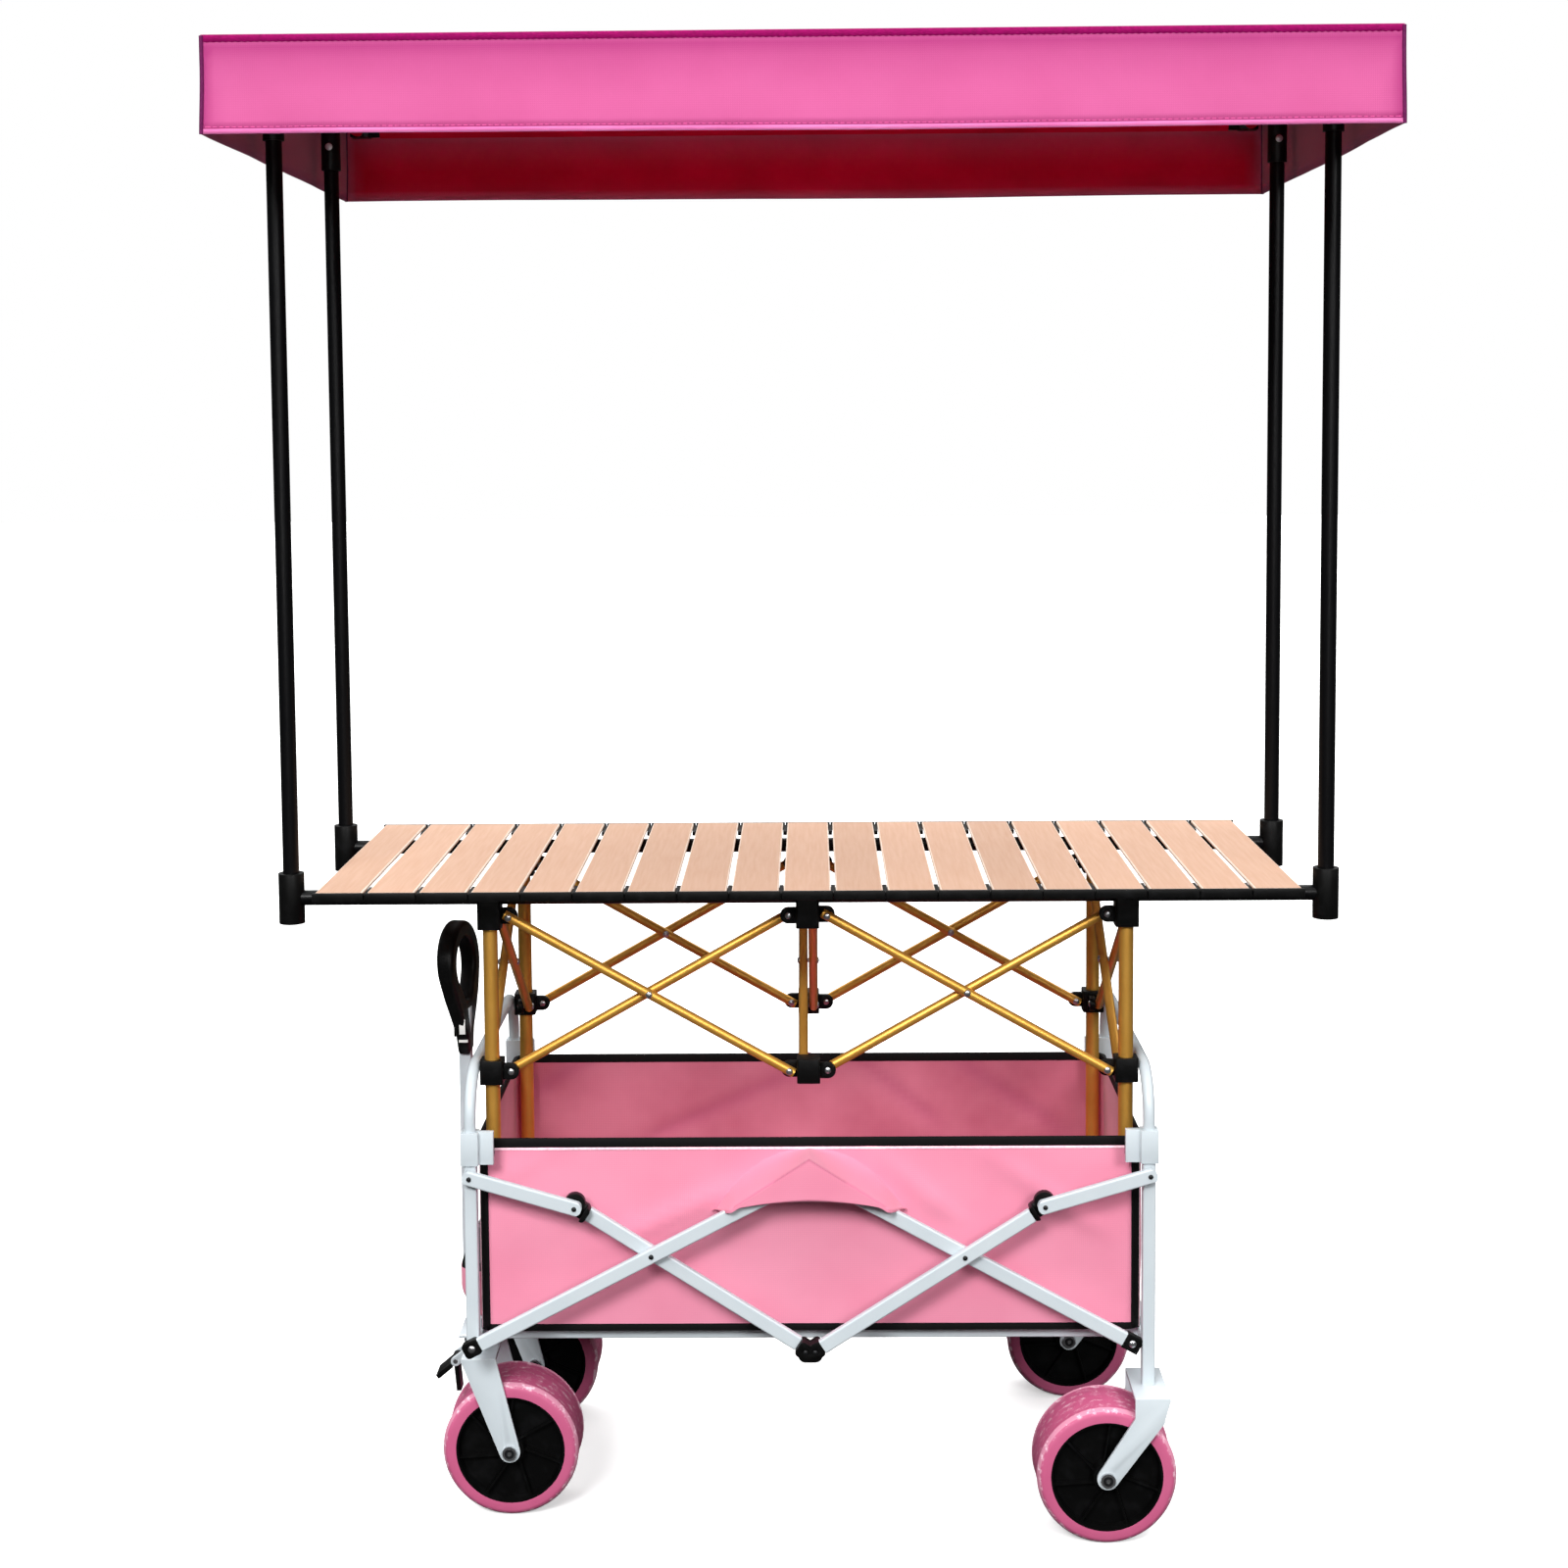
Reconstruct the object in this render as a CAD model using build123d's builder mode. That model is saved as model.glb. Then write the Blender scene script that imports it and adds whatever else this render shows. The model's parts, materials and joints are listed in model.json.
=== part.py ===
"""Stall cart: a folding wagon that carries a slatted table and a fabric canopy on four poles.

Millimetres, +Z up, +X along the cart away from the pull handle, -Y towards the customer.
The origin lies on the floor under the middle of the cart.
"""
import os
from math import isclose

from build123d import *

# Clearances
running_fit = 0.05
face_gap = 0.3
cloth_gap = 0.5

# Wheels
wheel_radius = 86.0
wheel_width = 84.0
hub_radius = 69.0
hub_rim = 8.0
hub_web = 6.0
hub_boss_radius = 17.0
hub_rib_count = 7
hub_rib = 4.0
hub_rib_inset = 8.0
hub_rib_sink = 2.0
tyre_round = 12.0
axle_radius = 5.0
bush_radius = 9.0
bush_length = 10.0
bore_relief = 1.0

# Forks and casters
fork_plate = 5.0
fork_foot_radius = 13.0
fork_side_gap = 2.0
fork_top_width = 43.0
fork_knee_width = 36.0
fork_knee_drop = 28.0
bolt_head_radius = 9.0
bolt_head = 4.0
fixed_wheel_x = 364.0
caster_axis_x = -419.0
caster_track = 140.0
caster_trail = 38.0
caster_race_radius = 24.0
caster_race = 14.0
caster_disc = 6.0
caster_disc_radius = 22.0
king_pin_radius = 6.0
king_nut_radius = 10.0
king_nut = 6.0
mount_plate = 4.0
mount_plate_length = 54.0
mount_plate_width = 62.0

# Brake pedals
brake_reach = 34.0
brake_drop = 17.0
brake_hub_radius = 6.0
brake_width = 20.0
brake_pin_radius = 3.0
brake_ear = 4.0
pedal_length = 30.0
pedal_width = 34.0
pedal_thick = 6.0
shoe_length = 40.0
pedal_angle = 40.0
shoe_angle = -85.0

# End frames
post_x = 419.0
post_y = 222.0
post_size = 16.0
post_top = 474.0
cross_tube_top = 248.0
fork_clear = 6.0
tube_wall = 1.5
tube_round = 2.5
end_bar_radius = 7.5
end_bar_top = 588.0
end_bar_bend = 60.0
collar_wall = 3.0
collar_bottom = 470.0
collar_height = 41.0
collar_flange = 18.0
collar_flange_thick = 8.0
collar_round = 1.5

# Floor rails, basket and floor board
floor_rail_y = 176.0
basket_half_length = 414.0
basket_half_depth = 199.0
basket_rim = 494.0
basket_wall = 3.0
basket_corner = 18.0
board_thick = 4.0
hook_width = 14.0
hook_height = 22.0

# Side braces
brace_width = 18.0
brace_thick = 10.0
brace_gap = 1.0
brace_end_z = 241.0
hub_pivot_x = 14.0
top_hub_z = 452.0
bottom_pivot_x = 6.0
bottom_hub_z = 236.0
hub_chin = 4.0
elbow_x = 290.0
elbow_z = 418.0
link_end_z = 456.0
brace_rivet_radius = 3.0
rivet_head_radius = 5.0
rivet_head = 1.8
hub_trim = 11.0
elbow_trim = 19.0
elbow_bridge = 6.0
bracket_margin = 1.0
fitting_round = 5.0
elbow_bulge = 3.0
elbow_bulge_radius = 13.0

# Hub flaps
flap_half_width = 86.0
flap_apex_z = 486.0
flap_edge_z = 430.0
flap_stand_off = 51.0
flap_wall = 1.8

# Pouch and strap
pouch_near_y = -185.0
pouch_far_y = -70.0
pouch_bottom = 262.0
pouch_top = 378.0
pouch_bulge = 30.0
pouch_wall = 4.0
pouch_round = 10.0
strap_width = 22.0
strap_thick = 4.0
strap_tail = 17.0
buckle_height = 18.0
buckle_thick = 9.0
buckle_round = 1.8

# Pull handle
handle_x = 455.0
handle_pivot_z = 240.0
handle_tube_width = 20.0
handle_tube_thick = 16.0
handle_cheek = 4.0
handle_pin_radius = 5.0
handle_pin_head_radius = 7.0
grip_bottom = 553.0
grip_top = 728.0
grip_half_width = 56.0
grip_thick = 24.0
grip_band = 22.0
grip_neck = 30.0
grip_foot = 22.0
grip_round = 6.0
grip_socket = 60.0
grip_web = 11.0
grip_hole_neck = 15.0
grip_hole_foot = 11.0
latch_height = 20.0
latch_proud = 3.0

# Table
table_length = 1200.0
table_depth = 500.0
table_top = 815.0
slat_count = 19
slat_gap = 6.0
slat_thick = 10.0
slat_round = 2.0
cap_depth = 5.0
cap_gap = 0.8
cap_height = 11.0
link_depth = 16.0
link_inset = 26.0
rail_y = 176.0
rail_radius = 9.5
leg_x = 396.0
leg_radius = 9.25
leg_wall = 1.2
foot_radius = 11.0
foot_height = 18.0
foot_base = 4.0
table_hub_size = 29.0
table_hub_height = 30.0
hub_round = 3.0
table_pivot_reach = 24.0
table_pivot_top = 771.0
table_pivot_bottom = 575.0
table_bar_radius = 6.0
table_bar_wall = 1.0
table_bar_tail = 6.5
table_bar_gap = 1.0
ear_thick = 7.0
ear_radius = 10.0
table_rivet_radius = 2.0
table_rivet_head_radius = 4.5
table_rivet_head = 1.5

# Sockets, poles and roof
pole_x = 643.0
pole_radius = 10.0
pole_wall = 1.2
socket_radius = 16.0
socket_bottom = 764.0
socket_height = 63.0
socket_floor = 8.0
socket_grip = 3.0
sleeve_radius = 13.0
sleeve_bottom = 1728.0
roof_half_width = 668.0
roof_half_depth = 417.0
roof_top = 1817.0
valance_bottom = 1708.0
cover_wall = 3.0
roof_rail_radius = 8.0
roof_rail_wall = 1.2
roof_rail_y = 398.0
corner_size = 26.0

# Places that follow from the sizes above
cross_tube_z = cross_tube_top - post_size / 2
cross_tube_bottom = cross_tube_top - post_size
fixed_plate_top = 2 * wheel_radius + fork_clear + 2 * fork_plate
basket_bottom = cross_tube_top + face_gap
board_bottom = basket_bottom + basket_wall + face_gap
board_top = board_bottom + board_thick
fork_inner = wheel_width / 2 + fork_side_gap
fork_outer = fork_inner + fork_plate
race_top = cross_tube_bottom - mount_plate
race_bottom = race_top - caster_race
caster_plate_top = race_bottom - face_gap - caster_disc
caster_wheel_x = caster_axis_x + caster_trail
brake_x = caster_axis_x - brake_reach
brake_z = caster_plate_top - brake_drop
outer_brace_y = post_y + post_size / 2 + brace_gap + brace_thick / 2
inner_brace_y = outer_brace_y - brace_thick - brace_gap
inner_brace_end_x = post_x - post_size / 2 - hub_trim - bracket_margin
roof_rail_z = roof_top - cover_wall - cloth_gap - roof_rail_radius
rail_z = table_top - slat_thick - rail_radius
socket_seat = socket_bottom + socket_floor
socket_top = socket_bottom + socket_height
bar_offset = table_bar_radius + table_bar_gap / 2

ends = {"left": -1, "right": 1}
sides = {"front": -1, "rear": 1}

os.makedirs("parts", exist_ok=True)


def save(piece, name):
    """Label a finished piece and write its STEP file."""
    piece.part.label = name
    export_step(piece.part, f"parts/{name}.step")


def block(centre, size, mode=Mode.ADD):
    """Add a box of the given size, centred on a point."""
    with Locations(centre):
        Box(*size, mode=mode)


def rod(start, end, radius, wall=0.0, mode=Mode.ADD):
    """Add a round bar between two points, hollow where it has a wall."""
    axis = Vector(*end) - Vector(*start)
    with BuildSketch(Plane(origin=start, z_dir=axis)) as section:
        Circle(radius)
        if wall:
            Circle(radius - wall, mode=Mode.SUBTRACT)
    extrude(section.sketch, amount=axis.length, mode=mode)


def pin(place, near_y, far_y, radius, mode=Mode.ADD):
    """Add a round bar along Y at an (x, z) place."""
    x, z = place
    rod((x, near_y, z), (x, far_y, z), radius, mode=mode)


def upright(place, low, high, radius, wall=0.0, mode=Mode.ADD):
    """Add a round bar along Z at an (x, y) place."""
    rod((*place, low), (*place, high), radius, wall, mode)


def side_plane(y):
    """The plane across Y at y, drawn in X and Z and extruded towards -Y."""
    return Plane(origin=(0, y, 0), x_dir=(1, 0, 0), z_dir=(0, -1, 0))


def square_tube(start, end, width, thick, wall):
    """Add a rectangular tube between two points of the XZ plane or of a vertical, thick along Y."""
    axis = Vector(*end) - Vector(*start)
    with BuildSketch(Plane(origin=start, x_dir=(0, 1, 0), z_dir=axis)) as section:
        RectangleRounded(thick, width, tube_round)
        RectangleRounded(thick - 2 * wall, width - 2 * wall, tube_round - wall, mode=Mode.SUBTRACT)
    extrude(section.sketch, amount=axis.length)


def cross_tube(x):
    """Add the tube that joins two posts, along Y."""
    half = post_y - post_size / 2
    with BuildSketch(Plane(origin=(x, -half, cross_tube_z), x_dir=(1, 0, 0), z_dir=(0, 1, 0))) as section:
        RectangleRounded(post_size, post_size, tube_round)
        RectangleRounded(post_size - 2 * tube_wall, post_size - 2 * tube_wall, tube_round - tube_wall,
                         mode=Mode.SUBTRACT)
    extrude(section.sketch, amount=2 * half)


def on_line(start, end, x):
    """Height at x on the line through two (x, z) points."""
    return start[1] + (end[1] - start[1]) * (x - start[0]) / (end[0] - start[0])


def crossing(first, second):
    """The (x, z) point where two lines cross, each given by two (x, z) points."""
    slope_one = (first[1][1] - first[0][1]) / (first[1][0] - first[0][0])
    slope_two = (second[1][1] - second[0][1]) / (second[1][0] - second[0][0])
    rise = second[0][1] - first[0][1] + slope_one * first[0][0] - slope_two * second[0][0]
    x = rise / (slope_one - slope_two)
    return x, on_line(first[0], first[1], x)


# Wheels: tyre, hub and bushes
wheels = {}
for side, front in sides.items():
    wheels[f"left_{side}"] = (caster_wheel_x, front * caster_track)
    wheels[f"right_{side}"] = (fixed_wheel_x, front * post_y)

for name, (x, y) in wheels.items():
    with BuildPart(Plane((x, y, wheel_radius), z_dir=(0, 1, 0))) as tyre:
        Cylinder(wheel_radius, wheel_width)
        fillet(tyre.edges(), tyre_round)
        Cylinder(hub_radius, wheel_width, mode=Mode.SUBTRACT)
    save(tyre, f"tyre_{name}")

    with BuildPart(Plane((x, y, wheel_radius), z_dir=(0, 1, 0))) as hub:
        rim_width = wheel_width - 2 * tyre_round
        Cylinder(hub_radius, rim_width)
        Cylinder(hub_radius - hub_rim, rim_width, mode=Mode.SUBTRACT)
        Cylinder(hub_radius - hub_rim, hub_web)
        Cylinder(hub_boss_radius, wheel_width)
        rib_start = hub_boss_radius - hub_rib_sink
        rib_end = hub_radius - hub_rim + hub_rib_sink
        with PolarLocations((rib_start + rib_end) / 2, hub_rib_count):
            Box(rib_end - rib_start, hub_rib, rim_width - 2 * hub_rib_inset)
        Cylinder(axle_radius + bore_relief, wheel_width, mode=Mode.SUBTRACT)
        recess = bush_length + face_gap
        for bush_side in (-1, 1):
            with Locations((0, 0, bush_side * (wheel_width - recess) / 2)):
                Cylinder(bush_radius + running_fit, recess, mode=Mode.SUBTRACT)
            with Locations((0, 0, bush_side * (wheel_width - bush_length) / 2)):
                Cylinder(bush_radius, bush_length)
                Cylinder(axle_radius + running_fit, bush_length, mode=Mode.SUBTRACT)
    save(hub, f"hub_{name}")


def fork(plate_x, axle_x, y, plate_top, knee=None):
    """Add a fork: a top plate and two legs that narrow to the axle.

    A knee is an (x, z) place and a width. With one, the legs stand upright down to it before they slant.
    """
    plate_z = plate_top - fork_plate / 2
    block((plate_x, y, plate_z), (fork_top_width, 2 * fork_outer, fork_plate))
    slant_start, slant_width = knee or ((plate_x, plate_z), fork_top_width)
    for leg_side in (-1, 1):
        leg_y = y + leg_side * (fork_outer - fork_plate / 2) + fork_plate / 2
        if knee:
            knee_x, knee_z = slant_start
            with BuildSketch(side_plane(leg_y)) as upper_leg:
                Polygon((plate_x - fork_top_width / 2, plate_z), (knee_x - slant_width / 2, knee_z),
                        (knee_x + slant_width / 2, knee_z), (plate_x + fork_top_width / 2, plate_z),
                        align=None)
            extrude(upper_leg.sketch, amount=fork_plate)
        with BuildSketch(side_plane(leg_y)) as leg:
            with Locations(slant_start):
                Rectangle(slant_width, fork_plate)
            with Locations((axle_x, wheel_radius)):
                Circle(fork_foot_radius)
            make_hull()
        extrude(leg.sketch, amount=fork_plate)
    pin((axle_x, wheel_radius), y - fork_outer, y + fork_outer, axle_radius, Mode.SUBTRACT)


def axle_bolt(x, y):
    """Add an axle bolt, its head and nut outside the fork, and a spacer at each side of the hub."""
    axle = (x, wheel_radius)
    pin(axle, y - fork_outer, y + fork_outer, axle_radius)
    for head_side in (-1, 1):
        face = y + head_side * fork_outer
        pin(axle, face, face + head_side * bolt_head, bolt_head_radius)
        spacer_end = y + head_side * (wheel_width / 2 + face_gap)
        pin(axle, y + head_side * fork_inner, spacer_end, bush_radius)


# Fixed forks and their axles on the right posts
with BuildPart() as fixed_forks:
    knee_place = (post_x - (fork_top_width - fork_knee_width) / 2, fixed_plate_top - fork_knee_drop)
    for front in sides.values():
        fork(post_x, fixed_wheel_x, front * post_y, fixed_plate_top, (knee_place, fork_knee_width))
save(fixed_forks, "fixed_forks")

with BuildPart() as fixed_axles:
    for front in sides.values():
        axle_bolt(fixed_wheel_x, front * post_y)
save(fixed_axles, "fixed_axles")

# Swivel casters on the left
with BuildPart() as caster_mounts:
    for front in sides.values():
        caster = (caster_axis_x, front * caster_track)
        block((*caster, race_top + mount_plate / 2), (mount_plate_length, mount_plate_width, mount_plate))
        upright(caster, race_bottom, race_top, caster_race_radius)
        upright(caster, race_bottom - face_gap, race_top, king_pin_radius, mode=Mode.SUBTRACT)
save(caster_mounts, "caster_mounts")

with BuildPart() as king_pins:
    nut_top = caster_plate_top - fork_plate - face_gap
    for front in sides.values():
        caster = (caster_axis_x, front * caster_track)
        upright(caster, nut_top - king_nut, race_top, king_pin_radius)
        upright(caster, nut_top - king_nut, nut_top, king_nut_radius)
save(king_pins, "king_pins")

brake_pivot = (brake_x, brake_z)
ear_inner = brake_width / 2 + face_gap
ear_outer = ear_inner + brake_ear
ear_root_x = caster_axis_x - fork_top_width / 2 + brake_hub_radius
disc_top = caster_plate_top + caster_disc
for side, front in sides.items():
    y = front * caster_track
    caster = (caster_axis_x, y)
    with BuildPart() as caster_fork:
        fork(caster_axis_x, caster_wheel_x, y, caster_plate_top)
        upright(caster, caster_plate_top, disc_top, caster_disc_radius)
        for ear_side in (-1, 1):
            ear_y = y + ear_side * (ear_inner + brake_ear / 2) + brake_ear / 2
            with BuildSketch(side_plane(ear_y)) as ear:
                with Locations((ear_root_x, caster_plate_top - fork_plate / 2)):
                    Rectangle(2 * brake_hub_radius, fork_plate)
                with Locations(brake_pivot):
                    Circle(brake_hub_radius)
                make_hull()
            extrude(ear.sketch, amount=brake_ear)
        upright(caster, caster_plate_top - fork_plate, disc_top, king_pin_radius + running_fit,
                mode=Mode.SUBTRACT)
        pin(brake_pivot, y - ear_outer, y + ear_outer, brake_pin_radius, Mode.SUBTRACT)
    save(caster_fork, f"caster_fork_{side}")

    with BuildPart() as caster_pins:
        axle_bolt(caster_wheel_x, y)
        pin(brake_pivot, y - ear_outer, y + ear_outer, brake_pin_radius)
    save(caster_pins, f"caster_pins_{side}")

    with BuildPart() as brake_pedal:
        near = y - brake_width / 2
        far = y + brake_width / 2
        pin(brake_pivot, near, far, brake_hub_radius)
        for arm_angle, arm, width in ((180 + pedal_angle, pedal_length, pedal_width),
                                      (shoe_angle, shoe_length, brake_width)):
            along_arm = Location(brake_pivot, arm_angle)
            with BuildSketch(side_plane(y + width / 2)) as outline:
                with Locations(along_arm):
                    with Locations(((arm + brake_hub_radius) / 2, 0)):
                        Rectangle(arm - brake_hub_radius, pedal_thick)
            extrude(outline.sketch, amount=width)
            with BuildSketch(side_plane(far)) as root:
                with Locations(along_arm):
                    with Locations((brake_hub_radius, 0)):
                        Rectangle(2 * brake_hub_radius, pedal_thick)
            extrude(root.sketch, amount=brake_width)
        pin(brake_pivot, near, far, brake_pin_radius + running_fit, Mode.SUBTRACT)
    save(brake_pedal, f"brake_pedal_{side}")

# End frames: two posts and a cross tube each
post_feet = {"left": cross_tube_bottom, "right": fixed_plate_top}
for end, along in ends.items():
    with BuildPart() as end_frame:
        for front in sides.values():
            square_tube((along * post_x, front * post_y, post_feet[end]),
                        (along * post_x, front * post_y, post_top), post_size, post_size, tube_wall)
        cross_tube(along * post_x)
    save(end_frame, f"{end}_end_frame")

with BuildPart() as end_bars:
    straight = end_bar_top - end_bar_radius
    for along in ends.values():
        with BuildLine() as route:
            FilletPolyline((along * post_x, -post_y, post_top), (along * post_x, -post_y, straight),
                           (along * post_x, post_y, straight), (along * post_x, post_y, post_top),
                           radius=end_bar_bend)
        with BuildSketch(Plane(origin=(along * post_x, -post_y, post_top), z_dir=(0, 0, 1))) as section:
            Circle(end_bar_radius)
            Circle(end_bar_radius - tube_wall, mode=Mode.SUBTRACT)
        sweep(section.sketch, path=route.line)
save(end_bars, "end_bars")

# Collars that join posts and end bars, each with a flange towards the basket
with BuildPart() as collars:
    collar_size = post_size + 2 * collar_wall
    collar_z = collar_bottom + collar_height / 2
    for along in ends.values():
        for front in sides.values():
            x = along * post_x
            y = front * post_y
            block((x, y, collar_z), (collar_size, collar_size, collar_height))
            block((x - along * (collar_size + collar_flange) / 2, y, collar_z),
                  (collar_flange, collar_flange_thick, collar_height))
    fillet(collars.edges().filter_by(Axis.Z), collar_round)
    for along in ends.values():
        for front in sides.values():
            x = along * post_x
            y = front * post_y
            block((x, y, (collar_bottom + post_top) / 2), (post_size, post_size, post_top - collar_bottom),
                  mode=Mode.SUBTRACT)
            upright((x, y), post_top, collar_bottom + collar_height, end_bar_radius, mode=Mode.SUBTRACT)
save(collars, "collars")

# Floor rails between the cross tubes
with BuildPart() as floor_rails:
    rail_end = post_x - post_size / 2
    for front in sides.values():
        y = front * floor_rail_y
        square_tube((-rail_end, y, cross_tube_z), (rail_end, y, cross_tube_z),
                    post_size, post_size, tube_wall)
save(floor_rails, "floor_rails")

# Side braces, mirrored to both long sides. On each side the rising bars lie outside the falling ones.
left_rising = ((-post_x, brace_end_z), (-hub_pivot_x, top_hub_z))
left_falling = ((-elbow_x, elbow_z), (-bottom_pivot_x, bottom_hub_z))
right_rising = ((bottom_pivot_x, bottom_hub_z), (elbow_x, elbow_z))
right_falling = ((hub_pivot_x, top_hub_z), (inner_brace_end_x, brace_end_z))
left_link = ((-elbow_x, elbow_z), (-post_x, link_end_z))
right_link = ((elbow_x, elbow_z), (post_x, link_end_z))


def brace(line, y, start_trim, end_trim):
    """Add a brace along an (x, z) line, cut back at each end, or longer where a trim is negative."""
    start = Vector(line[0][0], y, line[0][1])
    end = Vector(line[1][0], y, line[1][1])
    step = (end - start).normalized()
    square_tube(tuple(start + step * start_trim), tuple(end - step * end_trim),
                brace_width, brace_thick, tube_wall)


def line_angle(line):
    """Angle of an (x, z) line in the drawing of a side plane, in degrees."""
    step = Vector(*line[1]) - Vector(*line[0])
    return Vector(1, 0, 0).get_signed_angle(step, Vector(0, 0, 1))


def round_end(line, y):
    """Round the end of a brace that reaches past the start of its (x, z) line."""
    with BuildSketch(side_plane(y + brace_thick)) as waste:
        with Locations(Location(line[0], line_angle(line))):
            with Locations((-brace_width / 2, 0)):
                Rectangle(brace_width, 2 * brace_width)
            Circle(brace_width / 2, mode=Mode.SUBTRACT)
    extrude(waste.sketch, amount=2 * brace_thick, mode=Mode.SUBTRACT)


def pivot_hole(point, y, radius, length):
    """Cut a rivet hole along Y through an (x, z) point."""
    pin(point, y - length / 2, y + length / 2, radius, Mode.SUBTRACT)


brace_hole = brace_rivet_radius + running_fit
hole_depth = 3 * brace_thick
left_cross = crossing(left_rising, left_falling)
right_cross = crossing(right_rising, right_falling)
with BuildPart() as rising_braces:
    for front in sides.values():
        outer = front * outer_brace_y
        brace(left_rising, outer, hub_trim, hub_trim)
        brace(right_rising, outer, hub_trim, elbow_trim)
        pivot_hole(left_cross, outer, brace_hole, hole_depth)
        pivot_hole(right_cross, outer, brace_hole, hole_depth)
save(rising_braces, "rising_braces")

with BuildPart() as falling_braces:
    for front in sides.values():
        inner = front * inner_brace_y
        brace(left_falling, inner, elbow_trim, hub_trim)
        brace(right_falling, inner, hub_trim, hub_trim)
        pivot_hole(left_cross, inner, brace_hole, hole_depth)
        pivot_hole(right_cross, inner, brace_hole, hole_depth)
save(falling_braces, "falling_braces")

with BuildPart() as links:
    for front in sides.values():
        outer = front * outer_brace_y
        for link in (left_link, right_link):
            brace(link, outer, -brace_width / 2, -brace_width / 2)
            round_end(link, outer)
            round_end(tuple(reversed(link)), outer)
            pivot_hole(link[0], outer, brace_hole, hole_depth)
            pivot_hole(link[1], outer, brace_hole, hole_depth)
save(links, "brace_links")

# Black fittings of the braces: elbows, post brackets and centre hubs
outer_face = outer_brace_y + brace_thick / 2
inner_face = inner_brace_y - brace_thick / 2
link_seat = outer_brace_y - brace_thick / 2 - face_gap
fitting_width = brace_width + 2 * bracket_margin


def plate(line, first, last, width, near_y, far_y, corner=0.0, mode=Mode.ADD):
    """Add a plate along an (x, z) line, between two distances from its start, from near_y to far_y."""
    start = Vector(*line[0])
    step = (Vector(*line[1]) - start).normalized()
    middle = start + step * (first + last) / 2
    top_y = max(near_y, far_y)
    with BuildSketch(side_plane(top_y)) as outline:
        with Locations(Location((middle.X, middle.Y), line_angle(line))):
            if corner:
                RectangleRounded(last - first, width, corner)
            else:
                Rectangle(last - first, width)
    extrude(outline.sketch, amount=abs(far_y - near_y), mode=mode)


with BuildPart() as elbows:
    for front in sides.values():
        for line in (left_falling, tuple(reversed(right_rising))):
            plate(line, -hub_trim, elbow_trim, fitting_width, front * inner_face, front * outer_face,
                  fitting_round)
            plate(line, -2 * hub_trim, elbow_trim - elbow_bridge, 2 * fitting_width,
                  front * link_seat, front * (outer_face + face_gap), mode=Mode.SUBTRACT)
            pin((line[0][0], line[0][1] + elbow_bulge), front * inner_face, front * link_seat,
                elbow_bulge_radius)
            pivot_hole(line[0], front * outer_brace_y, brace_hole, 2 * hole_depth)
save(elbows, "brace_elbows")

# The left bracket stands on the post's outer face, the right one between the bar and the post's inner face
post_face = post_y + post_size / 2
with BuildPart() as post_brackets:
    for front in sides.values():
        plate(left_rising, -hub_trim, hub_trim, fitting_width, front * post_face, front * outer_face,
              fitting_round)
        pivot_hole(left_rising[0], front * outer_brace_y, brace_hole, hole_depth)
        right_end = tuple(reversed(right_falling))
        plate(right_end, -hub_trim, hub_trim, fitting_width, front * inner_face,
              front * (inner_brace_y + brace_thick / 2))
        block((post_x, front * inner_brace_y, brace_end_z), (post_size, 2 * post_size, 2 * fitting_width),
              mode=Mode.SUBTRACT)
        pivot_hole(right_end[0], front * inner_brace_y, brace_hole, hole_depth)
save(post_brackets, "post_brackets")

hub_pivots = (left_rising[1], right_falling[0], left_falling[1], right_rising[0])
with BuildPart() as brace_hubs:
    for front in sides.values():
        near = front * inner_face
        far = front * outer_face
        plate(tuple(reversed(left_rising)), -hub_trim, hub_trim, brace_width, near, far)
        plate(right_falling, -hub_trim, hub_trim, brace_width, near, far)
        plate(tuple(reversed(left_falling)), -hub_trim, hub_trim, fitting_width, near, far, fitting_round)
        plate(right_rising, -hub_trim, hub_trim, fitting_width, near, far, fitting_round)
        with BuildSketch(side_plane(max(near, far))) as chin:
            for pivot in (-bottom_pivot_x, bottom_pivot_x):
                with Locations((pivot, bottom_hub_z - hub_chin)):
                    Circle(brace_width / 2)
            make_hull()
        extrude(chin.sketch, amount=abs(far - near))
        for point in hub_pivots:
            pivot_hole(point, front * outer_brace_y, brace_hole, 2 * hole_depth)
save(brace_hubs, "brace_hubs")


def brace_rivet(point, front, inner_y, outer_y):
    """Add a rivet along Y with a head on each of two faces."""
    pin(point, front * inner_y, front * outer_y, brace_rivet_radius)
    pin(point, front * inner_y, front * (inner_y - rivet_head), rivet_head_radius)
    pin(point, front * outer_y, front * (outer_y + rivet_head), rivet_head_radius)


with BuildPart() as brace_rivets:
    for front in sides.values():
        for point in (left_cross, right_cross, left_link[0], right_link[0], *hub_pivots):
            brace_rivet(point, front, inner_face, outer_face)
        brace_rivet(right_falling[1], front, inner_face, inner_face + brace_thick)
        for point in (left_rising[0], left_link[1], right_link[1]):
            pin(point, front * post_face, front * outer_face, brace_rivet_radius)
            pin(point, front * outer_face, front * (outer_face + rivet_head), rivet_head_radius)
save(brace_rivets, "brace_rivets")

# Basket, floor board and hooks
with BuildPart() as basket:
    with BuildSketch(Plane.XY.offset(basket_bottom)):
        RectangleRounded(2 * basket_half_length, 2 * basket_half_depth, basket_corner)
    extrude(amount=basket_rim - basket_bottom)
    with BuildSketch(Plane.XY.offset(basket_bottom + basket_wall)):
        RectangleRounded(2 * (basket_half_length - basket_wall), 2 * (basket_half_depth - basket_wall),
                         basket_corner - basket_wall)
    extrude(amount=basket_rim - basket_bottom, mode=Mode.SUBTRACT)
save(basket, "basket")

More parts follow.
